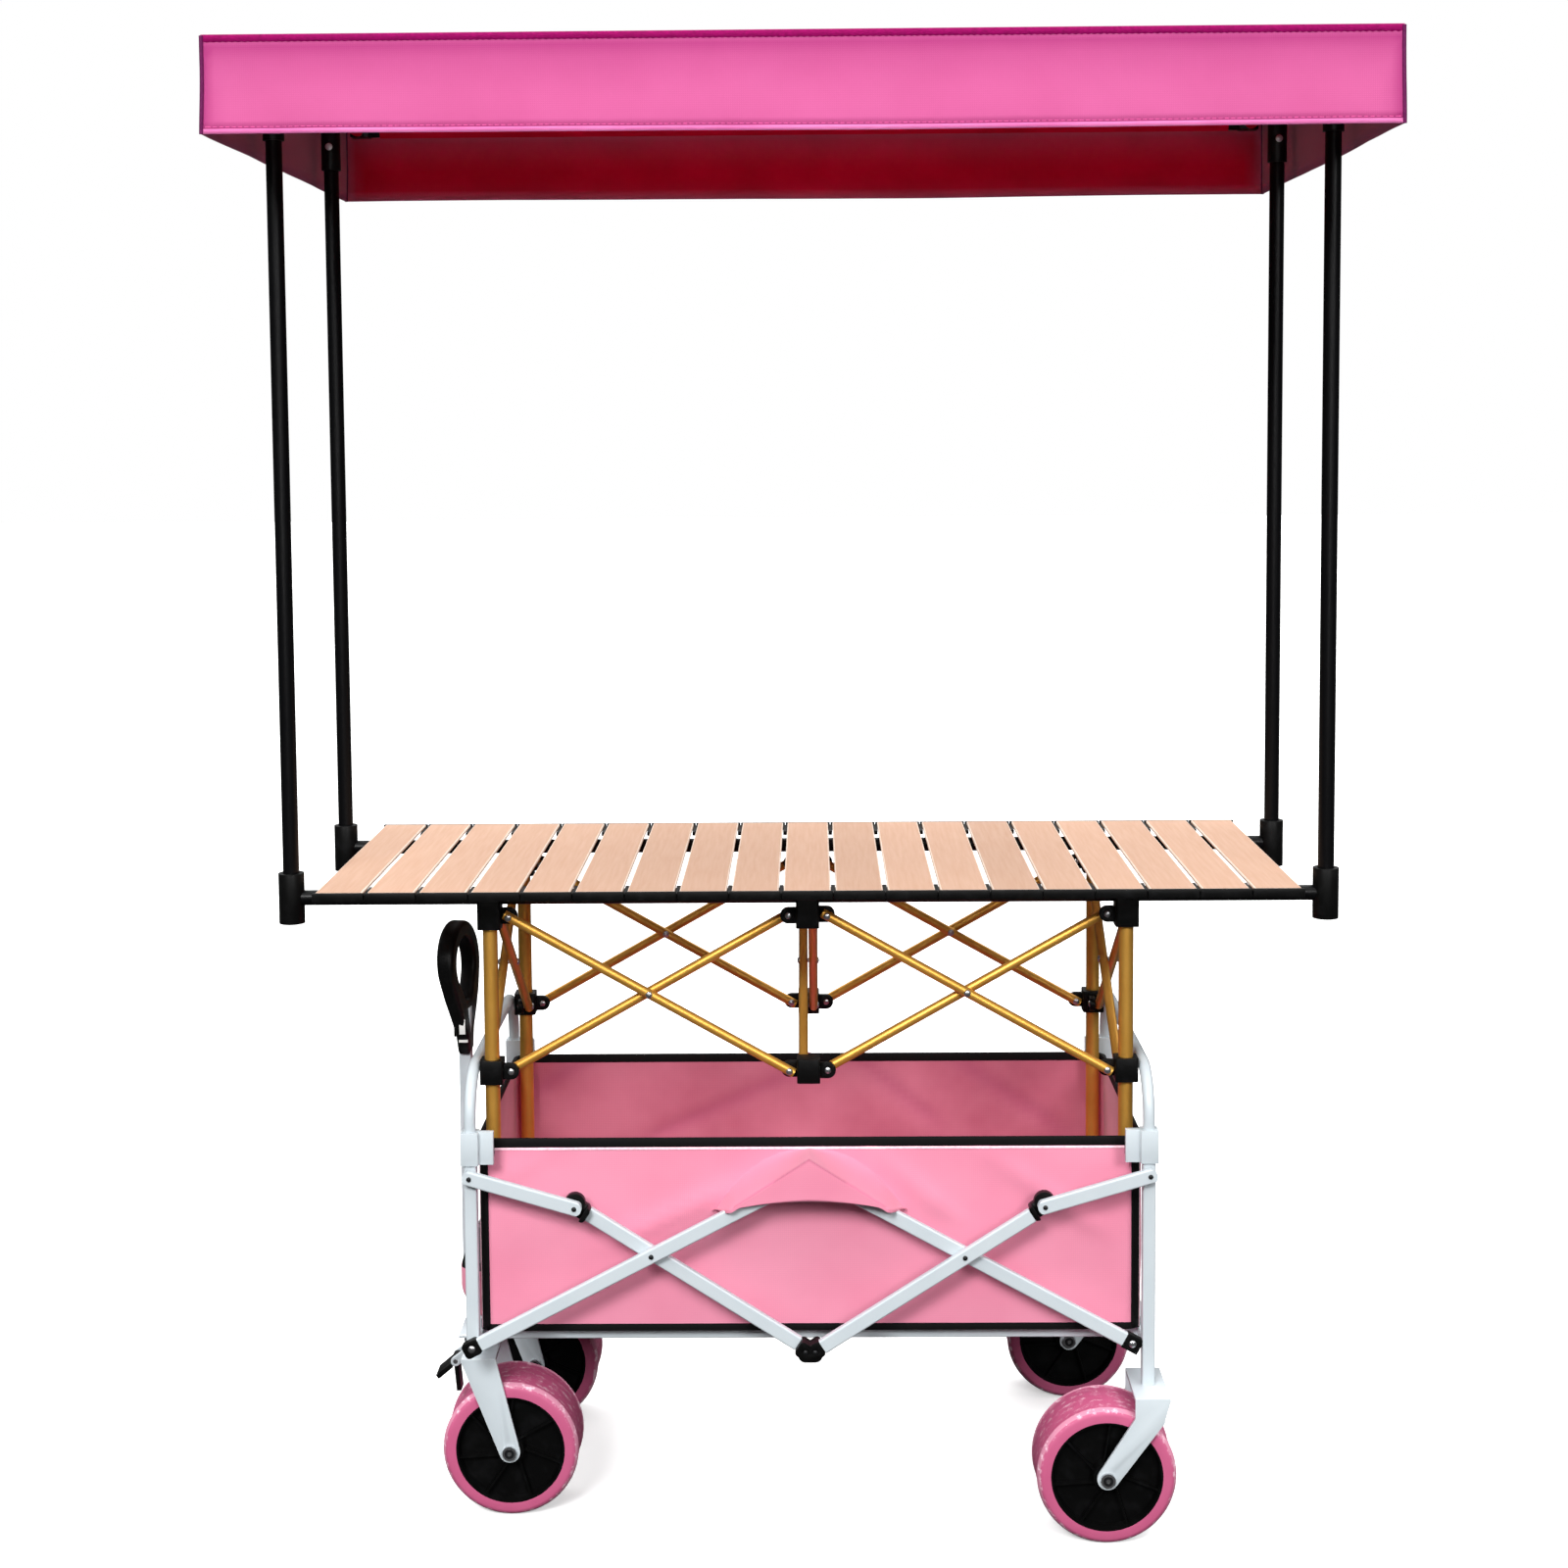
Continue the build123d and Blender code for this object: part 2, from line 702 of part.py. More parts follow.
with BuildPart() as floor_board:
    board_inset = basket_wall + 2 * cloth_gap
    with BuildSketch(Plane.XY.offset(board_bottom)):
        RectangleRounded(2 * (basket_half_length - board_inset), 2 * (basket_half_depth - board_inset),
                         basket_corner - board_inset)
    extrude(amount=board_thick)
save(floor_board, "floor_board")

with BuildPart() as basket_hooks:
    hook_start = basket_half_depth + face_gap
    hook_end = post_y - collar_flange_thick / 2
    hook_x = post_x - post_size / 2 - collar_wall - collar_flange / 2
    for along in ends.values():
        for front in sides.values():
            block((along * hook_x, front * (hook_start + hook_end) / 2, basket_rim - hook_height / 2),
                  (hook_width, hook_end - hook_start, hook_height))
save(basket_hooks, "basket_hooks")

# Fabric flaps over the top hubs, open below
with BuildPart() as hub_flaps:
    flap_back = basket_half_depth + face_gap
    flap_front = basket_half_depth + flap_stand_off
    for front in sides.values():
        for wall, mode in ((0.0, Mode.ADD), (flap_wall, Mode.SUBTRACT)):
            reach_y = flap_front - wall
            with BuildSketch(side_plane(max(front * flap_back, front * reach_y))) as outline:
                with BuildLine():
                    Polyline((-flap_half_width, flap_edge_z - wall), (0, flap_apex_z - wall),
                             (flap_half_width, flap_edge_z - wall), close=True)
                make_face()
            extrude(outline.sketch, amount=reach_y - flap_back, mode=mode)
save(hub_flaps, "hub_flaps")

# Pouch on the left end, with its strap and buckle
with BuildPart() as pouch:
    pouch_width = pouch_far_y - pouch_near_y
    pouch_height = pouch_top - pouch_bottom
    pouch_x = -basket_half_length - face_gap - pouch_bulge / 2
    pouch_y = (pouch_near_y + pouch_far_y) / 2
    pouch_z = (pouch_bottom + pouch_top) / 2
    block((pouch_x, pouch_y, pouch_z), (pouch_bulge, pouch_width, pouch_height))
    fillet(pouch.edges().group_by(Axis.X)[0], pouch_round)
    block((pouch_x, pouch_y, pouch_z + pouch_wall),
          (pouch_bulge - 2 * pouch_wall, pouch_width - 2 * pouch_wall, pouch_height), mode=Mode.SUBTRACT)
save(pouch, "end_pouch")

with BuildPart() as pouch_strap:
    strap_x = -post_x - post_size / 2 - strap_thick / 2
    strap_y = pouch_far_y - strap_width
    strap_bottom = cross_tube_bottom - strap_tail
    block((strap_x, strap_y, (strap_bottom + pouch_bottom) / 2),
          (strap_thick, strap_width, pouch_bottom - strap_bottom))
    block((strap_x - (strap_thick + buckle_thick) / 2, strap_y, cross_tube_z),
          (buckle_thick, strap_width + strap_thick, buckle_height))
    fillet(pouch_strap.edges().group_by(Axis.X)[0], buckle_round)
save(pouch_strap, "pouch_strap")

# Pull handle: bracket, pin, tube, grip and latch
handle_half = handle_tube_width / 2 + face_gap
handle_pivot = (-handle_x, handle_pivot_z)
bracket_reach = handle_x - post_x - post_size / 2
pin_end = handle_half + handle_cheek
with BuildPart() as handle_bracket:
    for cheek_side in (-1, 1):
        cheek_y = cheek_side * (handle_half + handle_cheek / 2) + handle_cheek / 2
        with BuildSketch(side_plane(cheek_y)) as cheek_plate:
            with Locations((-handle_x + bracket_reach - handle_cheek / 2, cross_tube_z)):
                Rectangle(handle_cheek, post_size)
            with Locations(handle_pivot):
                Circle(post_size / 2)
            make_hull()
        extrude(cheek_plate.sketch, amount=handle_cheek)
    block((-post_x - post_size / 2 - handle_cheek / 2, 0, cross_tube_z),
          (handle_cheek, 2 * (handle_half + handle_cheek), post_size))
    pin(handle_pivot, -pin_end, pin_end, handle_pin_radius, Mode.SUBTRACT)
save(handle_bracket, "handle_bracket")

with BuildPart() as handle_pin:
    pin(handle_pivot, -pin_end, pin_end, handle_pin_radius)
    for pin_side in (-1, 1):
        pin(handle_pivot, pin_side * pin_end, pin_side * (pin_end + rivet_head), handle_pin_head_radius)
save(handle_pin, "handle_pin")

with BuildPart() as handle_tube:
    square_tube((-handle_x, 0, handle_pivot_z), (-handle_x, 0, grip_bottom + grip_socket),
                handle_tube_thick, handle_tube_width, tube_wall)
    eye = handle_tube_width / 2
    pin(handle_pivot, -eye, eye, handle_tube_thick / 2)
    pin(handle_pivot, -eye, eye, handle_pin_radius + running_fit, Mode.SUBTRACT)
save(handle_tube, "handle_tube")

with BuildPart() as handle_grip:
    loop_z = grip_top - grip_half_width
    socket_end = grip_bottom + grip_socket
    loop_plane = Plane(origin=(-handle_x - grip_thick / 2, 0, 0), x_dir=(0, 1, 0), z_dir=(1, 0, 0))
    with BuildSketch(loop_plane) as loop:
        with Locations((0, loop_z)):
            Circle(grip_half_width)
        with Locations((0, grip_bottom + grip_foot / 2)):
            Rectangle(grip_neck, grip_foot)
        make_hull()
        with BuildSketch(mode=Mode.SUBTRACT):
            with Locations((0, loop_z)):
                Circle(grip_half_width - grip_band)
            with Locations((0, socket_end + grip_web + grip_hole_foot / 2)):
                Rectangle(grip_hole_neck, grip_hole_foot)
            make_hull()
    extrude(loop.sketch, amount=grip_thick)
    fillet(handle_grip.faces().filter_by(Axis.X).edges(), grip_round)
    block((-handle_x, 0, (grip_bottom + socket_end) / 2),
          (handle_tube_thick, handle_tube_width, grip_socket), mode=Mode.SUBTRACT)
save(handle_grip, "handle_grip")

with BuildPart() as handle_latch:
    block((-handle_x - grip_thick / 2 - latch_proud / 2, 0, grip_bottom + grip_socket / 2),
          (latch_proud, handle_tube_width / 2, latch_height))
save(handle_latch, "handle_latch")

# Table: slats with end caps and connecting links
slat_pitch = (table_length + slat_gap) / slat_count
slat_width = slat_pitch - slat_gap
slat_xs = [(index - (slat_count - 1) / 2) * slat_pitch for index in range(slat_count)]
slat_z = table_top - slat_thick / 2
with BuildPart() as slats:
    for x in slat_xs:
        block((x, 0, slat_z), (slat_width, table_depth - 2 * cap_depth, slat_thick))
    fillet(slats.edges().filter_by(Axis.Y).group_by(Axis.Z)[-1], slat_round)
save(slats, "slats")

with BuildPart() as slat_caps:
    for x in slat_xs:
        for front in sides.values():
            block((x, front * (table_depth - cap_depth) / 2, table_top - cap_height / 2),
                  (slat_pitch - cap_gap, cap_depth, cap_height))
save(slat_caps, "slat_caps")

with BuildPart() as slat_links:
    for x in slat_xs[1:]:
        for front in sides.values():
            block((x - slat_pitch / 2, front * (table_depth / 2 - link_inset), slat_z - slat_round / 2),
                  (slat_gap, link_depth, slat_thick - 2 * slat_round))
save(slat_links, "slat_links")

# Table rails, sockets, legs and feet
rail_end = pole_x - socket_radius + socket_grip
with BuildPart() as table_rails:
    for front in sides.values():
        rod((-rail_end, front * rail_y, rail_z), (rail_end, front * rail_y, rail_z), rail_radius, leg_wall)
save(table_rails, "table_rails")

with BuildPart() as pole_sockets:
    for along in ends.values():
        for front in sides.values():
            y = front * rail_y
            pole_place = (along * pole_x, y)
            upright(pole_place, socket_bottom, socket_top, socket_radius)
            upright(pole_place, socket_seat, socket_top, pole_radius + running_fit, mode=Mode.SUBTRACT)
            rod((along * (rail_end - socket_radius), y, rail_z), (along * rail_end, y, rail_z), rail_radius,
                mode=Mode.SUBTRACT)
save(pole_sockets, "pole_sockets")

leg_bottom = board_top + foot_base
leg_top = table_pivot_top
with BuildPart() as table_legs:
    for along in ends.values():
        for front in sides.values():
            upright((along * leg_x, front * rail_y), leg_bottom, leg_top, leg_radius, leg_wall)
save(table_legs, "table_legs")

with BuildPart() as leg_feet:
    for along in ends.values():
        for front in sides.values():
            foot_place = (along * leg_x, front * rail_y)
            upright(foot_place, board_top, board_top + foot_height, foot_radius)
            upright(foot_place, leg_bottom, board_top + foot_height, leg_radius, mode=Mode.SUBTRACT)
save(leg_feet, "leg_feet")

# Scissor frame of the table. Each bar is a pair of pivots and the side of the joint plane that it lies on.
# Along the long sides the falling bars lie outside the plane and the rising ones inside it, as seen from
# outside, and the same holds for the bars of the short sides and of the middle.
reach = table_pivot_reach


def side_bars(front):
    """Bars of one long side: start, end and the bar's offset along Y."""
    y = front * rail_y
    turn = -front
    bars = []
    for cell in (-1, 1):
        near = cell * leg_x - cell * reach
        far = cell * reach
        left = min(near, far)
        right = max(near, far)
        if turn < 0:
            left, right = right, left
        bars.append(((left, y, table_pivot_top), (right, y, table_pivot_bottom), front * bar_offset))
        bars.append(((left, y, table_pivot_bottom), (right, y, table_pivot_top), -front * bar_offset))
    return bars


def depth_bars(x):
    """Bars that run front to back at one x: start, end and the bar's offset along X."""
    near = -rail_y + reach
    far = rail_y - reach
    return [((x, near, table_pivot_top), (x, far, table_pivot_bottom), bar_offset),
            ((x, near, table_pivot_bottom), (x, far, table_pivot_top), -bar_offset)]


def shifted(point, offset, axis):
    """Move a point sideways along X or Y."""
    if axis == "X":
        return (point[0] + offset, point[1], point[2])
    return (point[0], point[1] + offset, point[2])


def scissor_bar(bar, axis):
    """Add one scissor bar with its three rivet holes."""
    start = Vector(*shifted(bar[0], bar[2], axis))
    end = Vector(*shifted(bar[1], bar[2], axis))
    step = (end - start).normalized()
    rod(tuple(start - step * table_bar_tail), tuple(end + step * table_bar_tail),
        table_bar_radius, table_bar_wall)
    middle = (start + end) * 0.5
    for point in (start, middle, end):
        rod(shifted(tuple(point), -2 * table_bar_radius, axis),
            shifted(tuple(point), 2 * table_bar_radius, axis),
            table_rivet_radius + running_fit, mode=Mode.SUBTRACT)


front_bars = side_bars(-1)
rear_bars = side_bars(1)
left_bars = depth_bars(-leg_x)
right_bars = depth_bars(leg_x)
middle_bars = depth_bars(0)
for name, bars, axis in (("long_scissors", front_bars + rear_bars, "Y"),
                         ("short_scissors", left_bars + right_bars, "X"),
                         ("middle_scissors", middle_bars, "X")):
    with BuildPart() as scissors:
        for bar in bars:
            scissor_bar(bar, axis)
    save(scissors, name)

all_bars = [(bar, "Y") for bar in front_bars + rear_bars]
all_bars += [(bar, "X") for bar in left_bars + right_bars + middle_bars]


def ear(pivot, offset, axis, hub):
    """Add a hub's ear beside the bar that it holds, on the other side of the joint plane."""
    inward = -1 if offset > 0 else 1
    rod(pivot, shifted(pivot, inward * ear_thick, axis), ear_radius)
    middle = ((pivot[0] + hub[0]) / 2, (pivot[1] + hub[1]) / 2, pivot[2])
    if axis == "Y":
        size = (abs(pivot[0] - hub[0]), ear_thick, 2 * ear_radius)
    else:
        size = (ear_thick, abs(pivot[1] - hub[1]), 2 * ear_radius)
    block(shifted(middle, inward * ear_thick / 2, axis), size)


def hub_ears(hub, pivot_z):
    """Add the ears of the hub at an (x, y) place, at one pivot height, then cut their holes."""
    held = []
    for bar, axis in all_bars:
        for pivot in bar[:2]:
            distance = Vector(pivot[0] - hub[0], pivot[1] - hub[1]).length
            if isclose(pivot[2], pivot_z) and isclose(distance, reach):
                held.append((pivot, bar[2], axis))
    for pivot, offset, axis in held:
        ear(pivot, offset, axis, hub)
    for pivot, offset, axis in held:
        rod(shifted(pivot, -2 * ear_thick, axis), shifted(pivot, 2 * ear_thick, axis),
            table_rivet_radius + running_fit, mode=Mode.SUBTRACT)


corner_places = [(along * leg_x, front * rail_y) for along in ends.values() for front in sides.values()]
centre_places = [(0.0, front * rail_y) for front in sides.values()]
hub_half = table_hub_height / 2

with BuildPart() as table_top_hubs:
    hub_low = table_pivot_top - hub_half
    for x, y in corner_places + centre_places:
        block((x, y, (hub_low + rail_z) / 2), (table_hub_size, table_hub_size, rail_z - hub_low))
    fillet(table_top_hubs.edges().filter_by(Axis.Z), hub_round)
    for x, y in corner_places + centre_places:
        hub_ears((x, y), table_pivot_top)
    for x, y in corner_places:
        upright((x, y), hub_low, leg_top, leg_radius, mode=Mode.SUBTRACT)
    for x, y in corner_places + centre_places:
        rod((x - table_hub_size, y, rail_z), (x + table_hub_size, y, rail_z), rail_radius,
            mode=Mode.SUBTRACT)
save(table_top_hubs, "table_top_hubs")

with BuildPart() as leg_sliders:
    for x, y in corner_places:
        block((x, y, table_pivot_bottom), (table_hub_size, table_hub_size, table_hub_height))
    fillet(leg_sliders.edges().filter_by(Axis.Z), hub_round)
    for x, y in corner_places:
        hub_ears((x, y), table_pivot_bottom)
    for x, y in corner_places:
        upright((x, y), table_pivot_bottom - hub_half, table_pivot_bottom + hub_half,
                leg_radius + running_fit, mode=Mode.SUBTRACT)
save(leg_sliders, "leg_sliders")

with BuildPart() as centre_hubs:
    for x, y in centre_places:
        block((x, y, table_pivot_bottom), (table_hub_size, table_hub_size, table_hub_height))
    fillet(centre_hubs.edges().filter_by(Axis.Z), hub_round)
    for x, y in centre_places:
        hub_ears((x, y), table_pivot_bottom)
save(centre_hubs, "centre_hubs")

with BuildPart() as table_rivets:
    bar_face = 2 * table_bar_radius + table_bar_gap / 2
    for bar, axis in all_bars:
        outward = 1 if bar[2] > 0 else -1
        for pivot in bar[:2]:
            low = shifted(pivot, -outward * ear_thick, axis)
            high = shifted(pivot, outward * bar_face, axis)
            rod(low, high, table_rivet_radius)
            rod(low, shifted(low, -outward * table_rivet_head, axis), table_rivet_head_radius)
            rod(high, shifted(high, outward * table_rivet_head, axis), table_rivet_head_radius)
    for bar, axis in all_bars[::2]:
        middle = (Vector(*bar[0]) + Vector(*bar[1])) * 0.5
        low = shifted(tuple(middle), -bar_face, axis)
        high = shifted(tuple(middle), bar_face, axis)
        rod(low, high, table_rivet_radius)
        rod(low, shifted(low, -table_rivet_head, axis), table_rivet_head_radius)
        rod(high, shifted(high, table_rivet_head, axis), table_rivet_head_radius)
save(table_rivets, "table_rivets")

# Canopy: poles, sleeves, roof frame and cover
pole_places = [(along * pole_x, front * rail_y) for along in ends.values() for front in sides.values()]
sleeve_top = roof_rail_z
pole_top = roof_rail_z - 2 * roof_rail_radius
with BuildPart() as poles:
    for place in pole_places:
        upright(place, socket_seat, pole_top, pole_radius, pole_wall)
save(poles, "poles")

with BuildPart() as roof_fittings:
    for x, y in pole_places:
        upright((x, y), sleeve_bottom, sleeve_top, sleeve_radius)
        upright((x, y), sleeve_bottom, pole_top, pole_radius, mode=Mode.SUBTRACT)
        pin((x, roof_rail_z), y - sleeve_radius, y + sleeve_radius, roof_rail_radius, Mode.SUBTRACT)
    for along in ends.values():
        for front in sides.values():
            block((along * pole_x, front * roof_rail_y, roof_rail_z),
                  (corner_size, corner_size, 2 * roof_rail_radius))
save(roof_fittings, "roof_fittings")

with BuildPart() as sleeve_rivets:
    rivet_z = (sleeve_bottom + pole_top) / 2
    for x, y in pole_places:
        face_y = y - sleeve_radius
        pin((x, rivet_z), face_y, face_y - rivet_head, rivet_head_radius)
save(sleeve_rivets, "sleeve_rivets")

with BuildPart() as roof_rails:
    side_half = roof_rail_y - corner_size / 2
    long_half = pole_x - corner_size / 2
    for along in ends.values():
        x = along * pole_x
        rod((x, -side_half, roof_rail_z), (x, side_half, roof_rail_z), roof_rail_radius, roof_rail_wall)
    for front in sides.values():
        y = front * roof_rail_y
        rod((-long_half, y, roof_rail_z), (long_half, y, roof_rail_z), roof_rail_radius, roof_rail_wall)
save(roof_rails, "roof_rails")

with BuildPart() as canopy_cover:
    cover_middle = (roof_top + valance_bottom) / 2
    cover_height = roof_top - valance_bottom
    block((0, 0, cover_middle), (2 * roof_half_width, 2 * roof_half_depth, cover_height))
    block((0, 0, cover_middle - cover_wall),
          (2 * (roof_half_width - cover_wall), 2 * (roof_half_depth - cover_wall), cover_height),
          mode=Mode.SUBTRACT)
save(canopy_cover, "canopy_cover")
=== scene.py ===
"""Looks of the stall cart: cloth, trims, finishes, small fittings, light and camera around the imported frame.

Metres, in the frame of the solids: +Z up, +X along the cart away from the pull handle,
-Y towards the customer.
"""
from __future__ import annotations

import json
import logging
import math
from collections.abc import Callable, Iterable, Sequence
from dataclasses import dataclass, field
from enum import Enum

import bmesh
import bpy
from mathutils import Matrix, Vector, geometry, noise
from mathutils.bvhtree import BVHTree


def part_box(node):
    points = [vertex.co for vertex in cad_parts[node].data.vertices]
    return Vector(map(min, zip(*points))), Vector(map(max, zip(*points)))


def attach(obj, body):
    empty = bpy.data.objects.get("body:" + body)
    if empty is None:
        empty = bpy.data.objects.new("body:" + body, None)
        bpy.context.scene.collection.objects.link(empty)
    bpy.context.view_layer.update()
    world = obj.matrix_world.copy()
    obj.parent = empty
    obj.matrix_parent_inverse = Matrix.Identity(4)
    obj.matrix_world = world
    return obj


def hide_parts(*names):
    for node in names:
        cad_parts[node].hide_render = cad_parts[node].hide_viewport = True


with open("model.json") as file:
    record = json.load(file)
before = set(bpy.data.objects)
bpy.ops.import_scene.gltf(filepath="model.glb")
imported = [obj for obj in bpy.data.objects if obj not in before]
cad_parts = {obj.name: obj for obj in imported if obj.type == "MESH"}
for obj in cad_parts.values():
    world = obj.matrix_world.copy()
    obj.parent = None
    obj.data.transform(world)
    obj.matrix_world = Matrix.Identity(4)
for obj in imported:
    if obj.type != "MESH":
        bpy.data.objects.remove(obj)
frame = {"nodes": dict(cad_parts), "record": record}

log = logging.getLogger("stall_cart")
MM = 0.001
MERGE_REACH = 0.01 * MM
FLAT_DEG = 1.0
CORNER_STEPS = 6
TREAD_SCUFFS_AND_HIGHLIGHT = "tread"
# The attribute that says how much painted shade darkens the cloth near seams, in creases and below bindings.
PAINTED_SHADE = "painted_shade"
PHOTO_SIDE = 1600
# A wave texture of scale 1 runs through this many radians in a metre.
WAVE_RADIANS = 20
SIDES = (-1, 1)
CORNERS = tuple((side_x, side_y) for side_x in SIDES for side_y in SIDES)
WHEELS = ("left_front", "left_rear", "right_front", "right_rear")


def linear(code: str) -> tuple[float, float, float, float]:
    """Turn an sRGB hex colour into linear light.

    Args:
        code: six hex digits.

    Returns:
        Red, green, blue and a full alpha.
    """
    shares = [int(code[start:start + 2], 16) / 255 for start in (0, 2, 4)]
    light = [share / 12.92 if share <= 0.04045 else ((share + 0.055) / 1.055) ** 2.4 for share in shares]
    return (light[0], light[1], light[2], 1.0)


def add_node(tree: bpy.types.NodeTree, kind: str, settings: dict | None = None,
             links: dict | None = None) -> bpy.types.Node:
    """Add one shader node with its settings and links.

    Args:
        tree: the material's or world's node tree.
        kind: Blender's name for the node type.
        settings: values by property name, or by an input's name or number.
        links: the output that feeds each input, by the input's name or number.

    Returns:
        The new node.
    """
    node = tree.nodes.new(kind)
    for key, value in (settings or {}).items():
        if isinstance(key, int) or key in node.inputs:
            node.inputs[key].default_value = value
        else:
            setattr(node, key, value)
    for key, source in (links or {}).items():
        tree.links.new(source, node.inputs[key])
    return node


def grains_per_metre(size_mm: float) -> float:
    """Give the noise scale whose blobs are about this many millimetres across."""
    return 1000.0 / size_mm


def bands_per_metre(spacing_mm: float) -> float:
    """Give the wave scale whose bands lie this many millimetres apart."""
    return math.tau / WAVE_RADIANS * 1000.0 / spacing_mm


@dataclass(frozen=True)
class Finish:
    """One material: what it is called, its colour and how rough it is."""

    name: str
    colour: str
    roughness: float

    def build(self) -> bpy.types.Material:
        """Make the material with its patterns.

        Returns:
            The finished material.
        """
        material = bpy.data.materials.new(self.name)
        material.use_nodes = True
        material.diffuse_color = linear(self.colour)
        tree = material.node_tree
        shader = next(node for node in tree.nodes if node.type == "BSDF_PRINCIPLED")
        shader.inputs["Base Color"].default_value = linear(self.colour)
        shader.inputs["Roughness"].default_value = self.roughness
        self.pattern(tree, shader)
        return material

    def pattern(self, tree: bpy.types.NodeTree, shader: bpy.types.Node) -> None:
        """Add the patterns of this kind of finish.

        Args:
            tree: the material's node tree.
            shader: its principled shader.
        """
        raise NotImplementedError


@dataclass(frozen=True)
class WovenCloth(Finish):
    """Dyed woven polyester: a matt face with a faint grid of threads, soft patches and a sheen at low angles.

    Shade is painted into the cloth near its seams and creases, as much as the piece's painted shade attribute
    says.
    The real threads lie about 0.6 mm apart, too fine to show, so the weave is drawn coarser.
    """

    shade: str = "FFFFFF"
    # The colour of the painted shade near seams and creases.
    seam: str = "C06080"
    thread_mm: float = 2.4
    patch_mm: float = 120.0
    sheen: float = 0.25
    sheen_roughness: float = 0.45
    gloss: float = 0.12
    relief_share: float = 0.15

    def pattern(self, tree: bpy.types.NodeTree, shader: bpy.types.Node) -> None:
        """Weave the threads on the cloth's own flat layout and vary the dye in soft patches.

        Args:
            tree: the material's node tree.
            shader: its principled shader.
        """
        places = add_node(tree, "ShaderNodeTexCoord")
        threads = [
            add_node(tree, "ShaderNodeTexWave",
                     {"bands_direction": way, "Scale": bands_per_metre(self.thread_mm), "Distortion": 0.5,
                      "Detail": 1.0, "Detail Scale": 0.6},
                     {"Vector": places.outputs["UV"]})
            for way in ("X", "Y")
        ]
        weave = add_node(tree, "ShaderNodeMath", {"operation": "MULTIPLY"},
                         {0: threads[0].outputs["Fac"], 1: threads[1].outputs["Fac"]})
        patches = add_node(tree, "ShaderNodeTexNoise",
                           {"Scale": grains_per_metre(self.patch_mm), "Detail": 3.0, "Roughness": 0.55},
                           {"Vector": places.outputs["Object"]})
        spread = add_node(tree, "ShaderNodeMapRange", {"From Min": 0.34, "From Max": 0.66},
                          {"Value": patches.outputs["Fac"]})
        dye = add_node(tree, "ShaderNodeMix",
                       {"data_type": "RGBA", 6: linear(self.shade), 7: linear(self.colour)},
                       {0: spread.outputs["Result"]})
        # Painted shade: darker near seams, in creases and below the binding, as the piece's attribute says.
        painted_shade = add_node(tree, "ShaderNodeAttribute", {"attribute_name": PAINTED_SHADE})
        with_seam_shade = add_node(tree, "ShaderNodeMix", {"data_type": "RGBA", 7: linear(self.seam)},
                            {0: painted_shade.outputs["Fac"], 6: dye.outputs[2]})
        slubs = add_node(tree, "ShaderNodeMapRange", {"To Min": 0.95, "To Max": 1.02},
                         {"Value": weave.outputs["Value"]})
        face = add_node(tree, "ShaderNodeVectorMath", {"operation": "SCALE"},
                        {0: with_seam_shade.outputs[2], "Scale": slubs.outputs["Result"]})
        relief = add_node(tree, "ShaderNodeBump",
                          {"Strength": 0.22, "Distance": self.relief_share * self.thread_mm * MM},
                          {"Height": weave.outputs["Value"]})
        tree.links.new(face.outputs["Vector"], shader.inputs["Base Color"])
        tree.links.new(relief.outputs["Normal"], shader.inputs["Normal"])
        shader.inputs["Sheen Weight"].default_value = self.sheen
        shader.inputs["Sheen Roughness"].default_value = self.sheen_roughness
        shader.inputs["Specular IOR Level"].default_value = self.gloss


@dataclass(frozen=True)
class BindingTape(Finish):
    """Ribbed polyester tape: nearly matt, with fine ribs across it that catch thin lines of light."""

    rib_mm: float = 2.0
    lint_mm: float = 4.0
    gloss: float = 0.15

    def pattern(self, tree: bpy.types.NodeTree, shader: bpy.types.Node) -> None:
        """Run the ribs across the tape, coarser than the real half millimetre so that they show.

        Args:
            tree: the material's node tree.
            shader: its principled shader.
        """
        places = add_node(tree, "ShaderNodeTexCoord")
        ribs = add_node(tree, "ShaderNodeTexWave",
                        {"bands_direction": "DIAGONAL", "Scale": bands_per_metre(self.rib_mm),
                         "Distortion": 0.4},
                        {"Vector": places.outputs["UV"]})
        lint = add_node(tree, "ShaderNodeTexNoise",
                        {"Scale": grains_per_metre(self.lint_mm), "Detail": 2.0},
                        {"Vector": places.outputs["Object"]})
        tone = add_node(tree, "ShaderNodeMapRange", {"To Min": 0.7, "To Max": 1.5},
                        {"Value": lint.outputs["Fac"]})
        face = add_node(tree, "ShaderNodeVectorMath", {"operation": "SCALE", 0: linear(self.colour)[:3]},
                        {"Scale": tone.outputs["Result"]})
        relief = add_node(tree, "ShaderNodeBump", {"Strength": 0.35, "Distance": 0.2 * MM},
                          {"Height": ribs.outputs["Fac"]})
        tree.links.new(face.outputs["Vector"], shader.inputs["Base Color"])
        tree.links.new(relief.outputs["Normal"], shader.inputs["Normal"])
        shader.inputs["Specular IOR Level"].default_value = self.gloss


